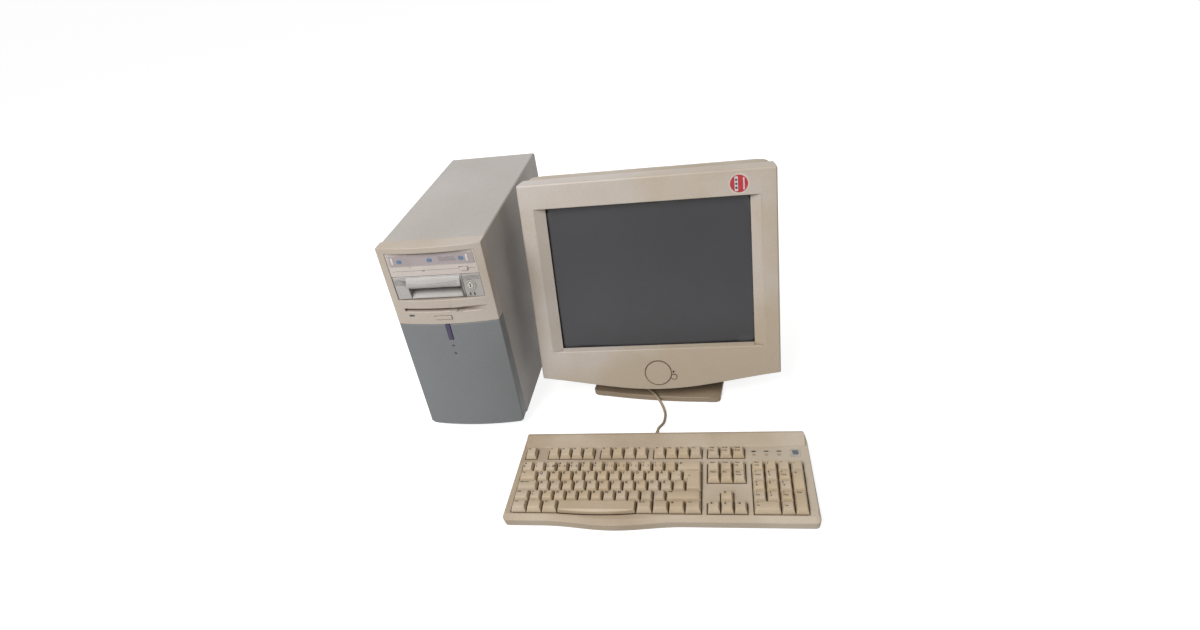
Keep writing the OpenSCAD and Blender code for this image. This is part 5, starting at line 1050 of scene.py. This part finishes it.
def pins(x, y, z):
    """The boxes round the three blades of a mains inlet."""
    return [("plated_screw", (x + a - 1.3, y - 18, z + b - 2.3), (x + a + 1.3, y, z + b + 2.3))
            for a, b in ((-7, -2), (0, 3), (7, -2))]

# %% Boards and supply
parted("motherboard", TOWER, [
    (BLACK, (90, 180, 0), (159.2, 400, 300)),
    ("green_board", (124, 197, 107), (148, 214, 241)),
    ("drive_white", (153, 250, 152), (159.2, 301, 204))])
parted("expansion_card", TOWER, [
    (BLACK, (90, 320, 61.7), (130, 350, 66)),
    ("zinc_steel", (50, 390.3, 50), (156, 391.7, 71)),
    (BLACK, (97.3, 377, 61.2), (129.6, 397, 66.6))])
parted("power_supply", TOWER, [
    (BLACK, (20.9, 360, 278.9), (101.1, 390.2, 359.1)),
    (BLACK, (116.3, 371, 307.8), (145.7, 391.7, 330.2))] + pins(131, 385.7, 319))
parted("monitor_board", MONITOR, [
    (BLACK, (-120, 100, 27.9), (120, 190, 90)),
    ("cast_aluminium", (-91, 164.8, 27.9), (16, 169.2, 73)),
    ("zinc_steel", (-66.2, 411.2, 112.8), (-29.8, 424.04, 127.2)),
    (BLACK, (-57.2, 424.02, 115.3), (-38.8, 426, 124.7)),
    (BLACK, (29.3, 404, 108.8), (58.7, 425, 131.2))] + pins(44, 419.2, 120))

# %% [markdown]
# The sockets of the main board get their faces: two round ones for keyboard and mouse, a pair of
# flat ones, two short rows of pins and a long one. Each is a tinned plate with a dark middle, laid
# on the end of its block. The screw heads get a crossed dark plate in the same way, which paints
# the shade in their slots.

# %% Faces of the sockets
HALF_TURN = Matrix.Rotation(radians(180), 4, "Z")
BACK = TOWER @ HALF_TURN
REAR_FACE = 394.7
ROUND = (222.6, 235.4)  # heights of the two round sockets
FLANGES = [(151.4, 202, 10.4, 15.6), (153.4, 173.5, 10.8, 29.6), (139.4, 173.5, 10.8, 29.6),
           (153.4, 130, 10.8, 46)]
MIDDLES = [(148.9, 202, 3, 11.5), (153.9, 202, 3, 11.5), (153.4, 173.5, 7.6, 16.6),
           (139.4, 173.5, 7.6, 16.6), (153.4, 130, 7.6, 38.6)]
shells = [plate(BACK, (-x, -REAR_FACE, z), (w, h), 0.8, 0.6, 0.15) for x, z, w, h in FLANGES]
shells += [plate(BACK, (-113.4, -396.5, 63.8), (30, 4.6), 0.6, 0.5, 0.12)]
shells += [disc(BACK, (-141.4, -REAR_FACE - 0.25, z), 5.6, 0.5) for z in ROUND]
add_ware("socket_shells", shells, "motherboard", "zinc_steel")
cores = [plate(BACK, (-x, -REAR_FACE - 0.55, z), (w, h), 1.6, 0.4, 0.1) for x, z, w, h in MIDDLES]
cores += [plate(BACK, (-113.4, -396.95, 63.8), (17, 3.2), 0.8, 0.3, 0.08)]
cores += [disc(BACK, (-141.4, -REAR_FACE - 0.6, z), 4.5, 0.5) for z in ROUND]
add_ware("socket_cores", cores, "motherboard", BLACK)

# %% Painted shade in the slots of the screws
def crossed(name, node, axes, columns, levels, depth):
    """Two crossed dark plates on each screw head, as one piece: the painted shade of its slots."""
    slot_shades = [plate(axes, (-x, -depth, z), size, 0.3, 0.16, 0.04)
             for x in columns for z in levels for size in ((4.2, 0.9), (0.9, 4.2))]
    add_ware(name, slot_shades, node, "switch_plate")


crossed("tower_slot_shade", "tower_screws", BACK, (6.5, 168.5), (40, 190, 330), 396.35)
crossed("monitor_slot_shade", "monitor_screws", MONITOR @ HALF_TURN, (-86, 86), (141, 240), 427.15)

# %% [markdown]
# ## The stage
#
# A pale floor and a white surround. The floor shows a soft shadow, and part of its whiteness is
# given only to the camera and to reflections, so that it throws no extra light up at the units.
# One large soft lamp stands high on the left, in front, and a weaker one low behind the set, so
# that its back isn't dark; that one is left out of reflections, or it would glare on the tower's
# top. The white room fills in the rest.

# %% Floor and surround
SEEN_WHITE = 0.84
FLOOR_TINT = 0.42


def seen(tree):
    """1 for rays from the camera, a reflection or clear glass, else 0."""
    path = add(tree, "LightPath").outputs
    both = worked_out(tree, "MAXIMUM", path["Is Camera Ray"], path["Is Glossy Ray"])
    return worked_out(tree, "MAXIMUM", both, path["Is Transmission Ray"])


bpy.ops.mesh.primitive_plane_add(size=60, location=(0, 0, -0.0004))
floor = bpy.context.object
floor.name = "floor"
white = bpy.data.materials.new("floor_white")
tree = empty_tree(white)
glow = worked_out(tree, "MULTIPLY", seen(tree), SEEN_WHITE)
paint = add(tree, "BsdfDiffuse", {"Color": (FLOOR_TINT, FLOOR_TINT, FLOOR_TINT, 1)})
light = add(tree, "Emission", {"Strength": glow})
both = add(tree, "AddShader", {0: paint.outputs[0], 1: light.outputs[0]})
add(tree, "OutputMaterial", {"Surface": both.outputs[0]})
floor.data.materials.append(white)

# %% The room
ROOM_LIGHT = 0.34
room = bpy.data.worlds.new("room")
bpy.context.scene.world = room
tree = empty_tree(room)
level = remap(tree, seen(tree), 0, 1, ROOM_LIGHT, 1.0)
sky = add(tree, "Background", {"Color": (1, 1, 1, 1), "Strength": level})
add(tree, "OutputWorld", {"Surface": sky.outputs[0]})

# %% Lamps
def soft_lamp(name, place, aim, size, power):
    """A square soft lamp that points at a spot."""
    data = bpy.data.lights.new(name, "AREA")
    data.size = size
    data.energy = power
    lamp = placed(name, data)
    lamp.location = place
    lamp.rotation_euler = (Vector(aim) - Vector(place)).to_track_quat("-Z", "Y").to_euler()
    return lamp


soft_lamp("key_lamp", (-1.1, -2.1, 2.5), (0, 0, 0.15), 1.6, 90)
behind = soft_lamp("back_lamp", (-0.9, 2.6, 0.8), (0, 0.1, 0.2), 1.4, 32)
behind.visible_glossy = False
bpy.context.scene.view_settings.view_transform = "Standard"
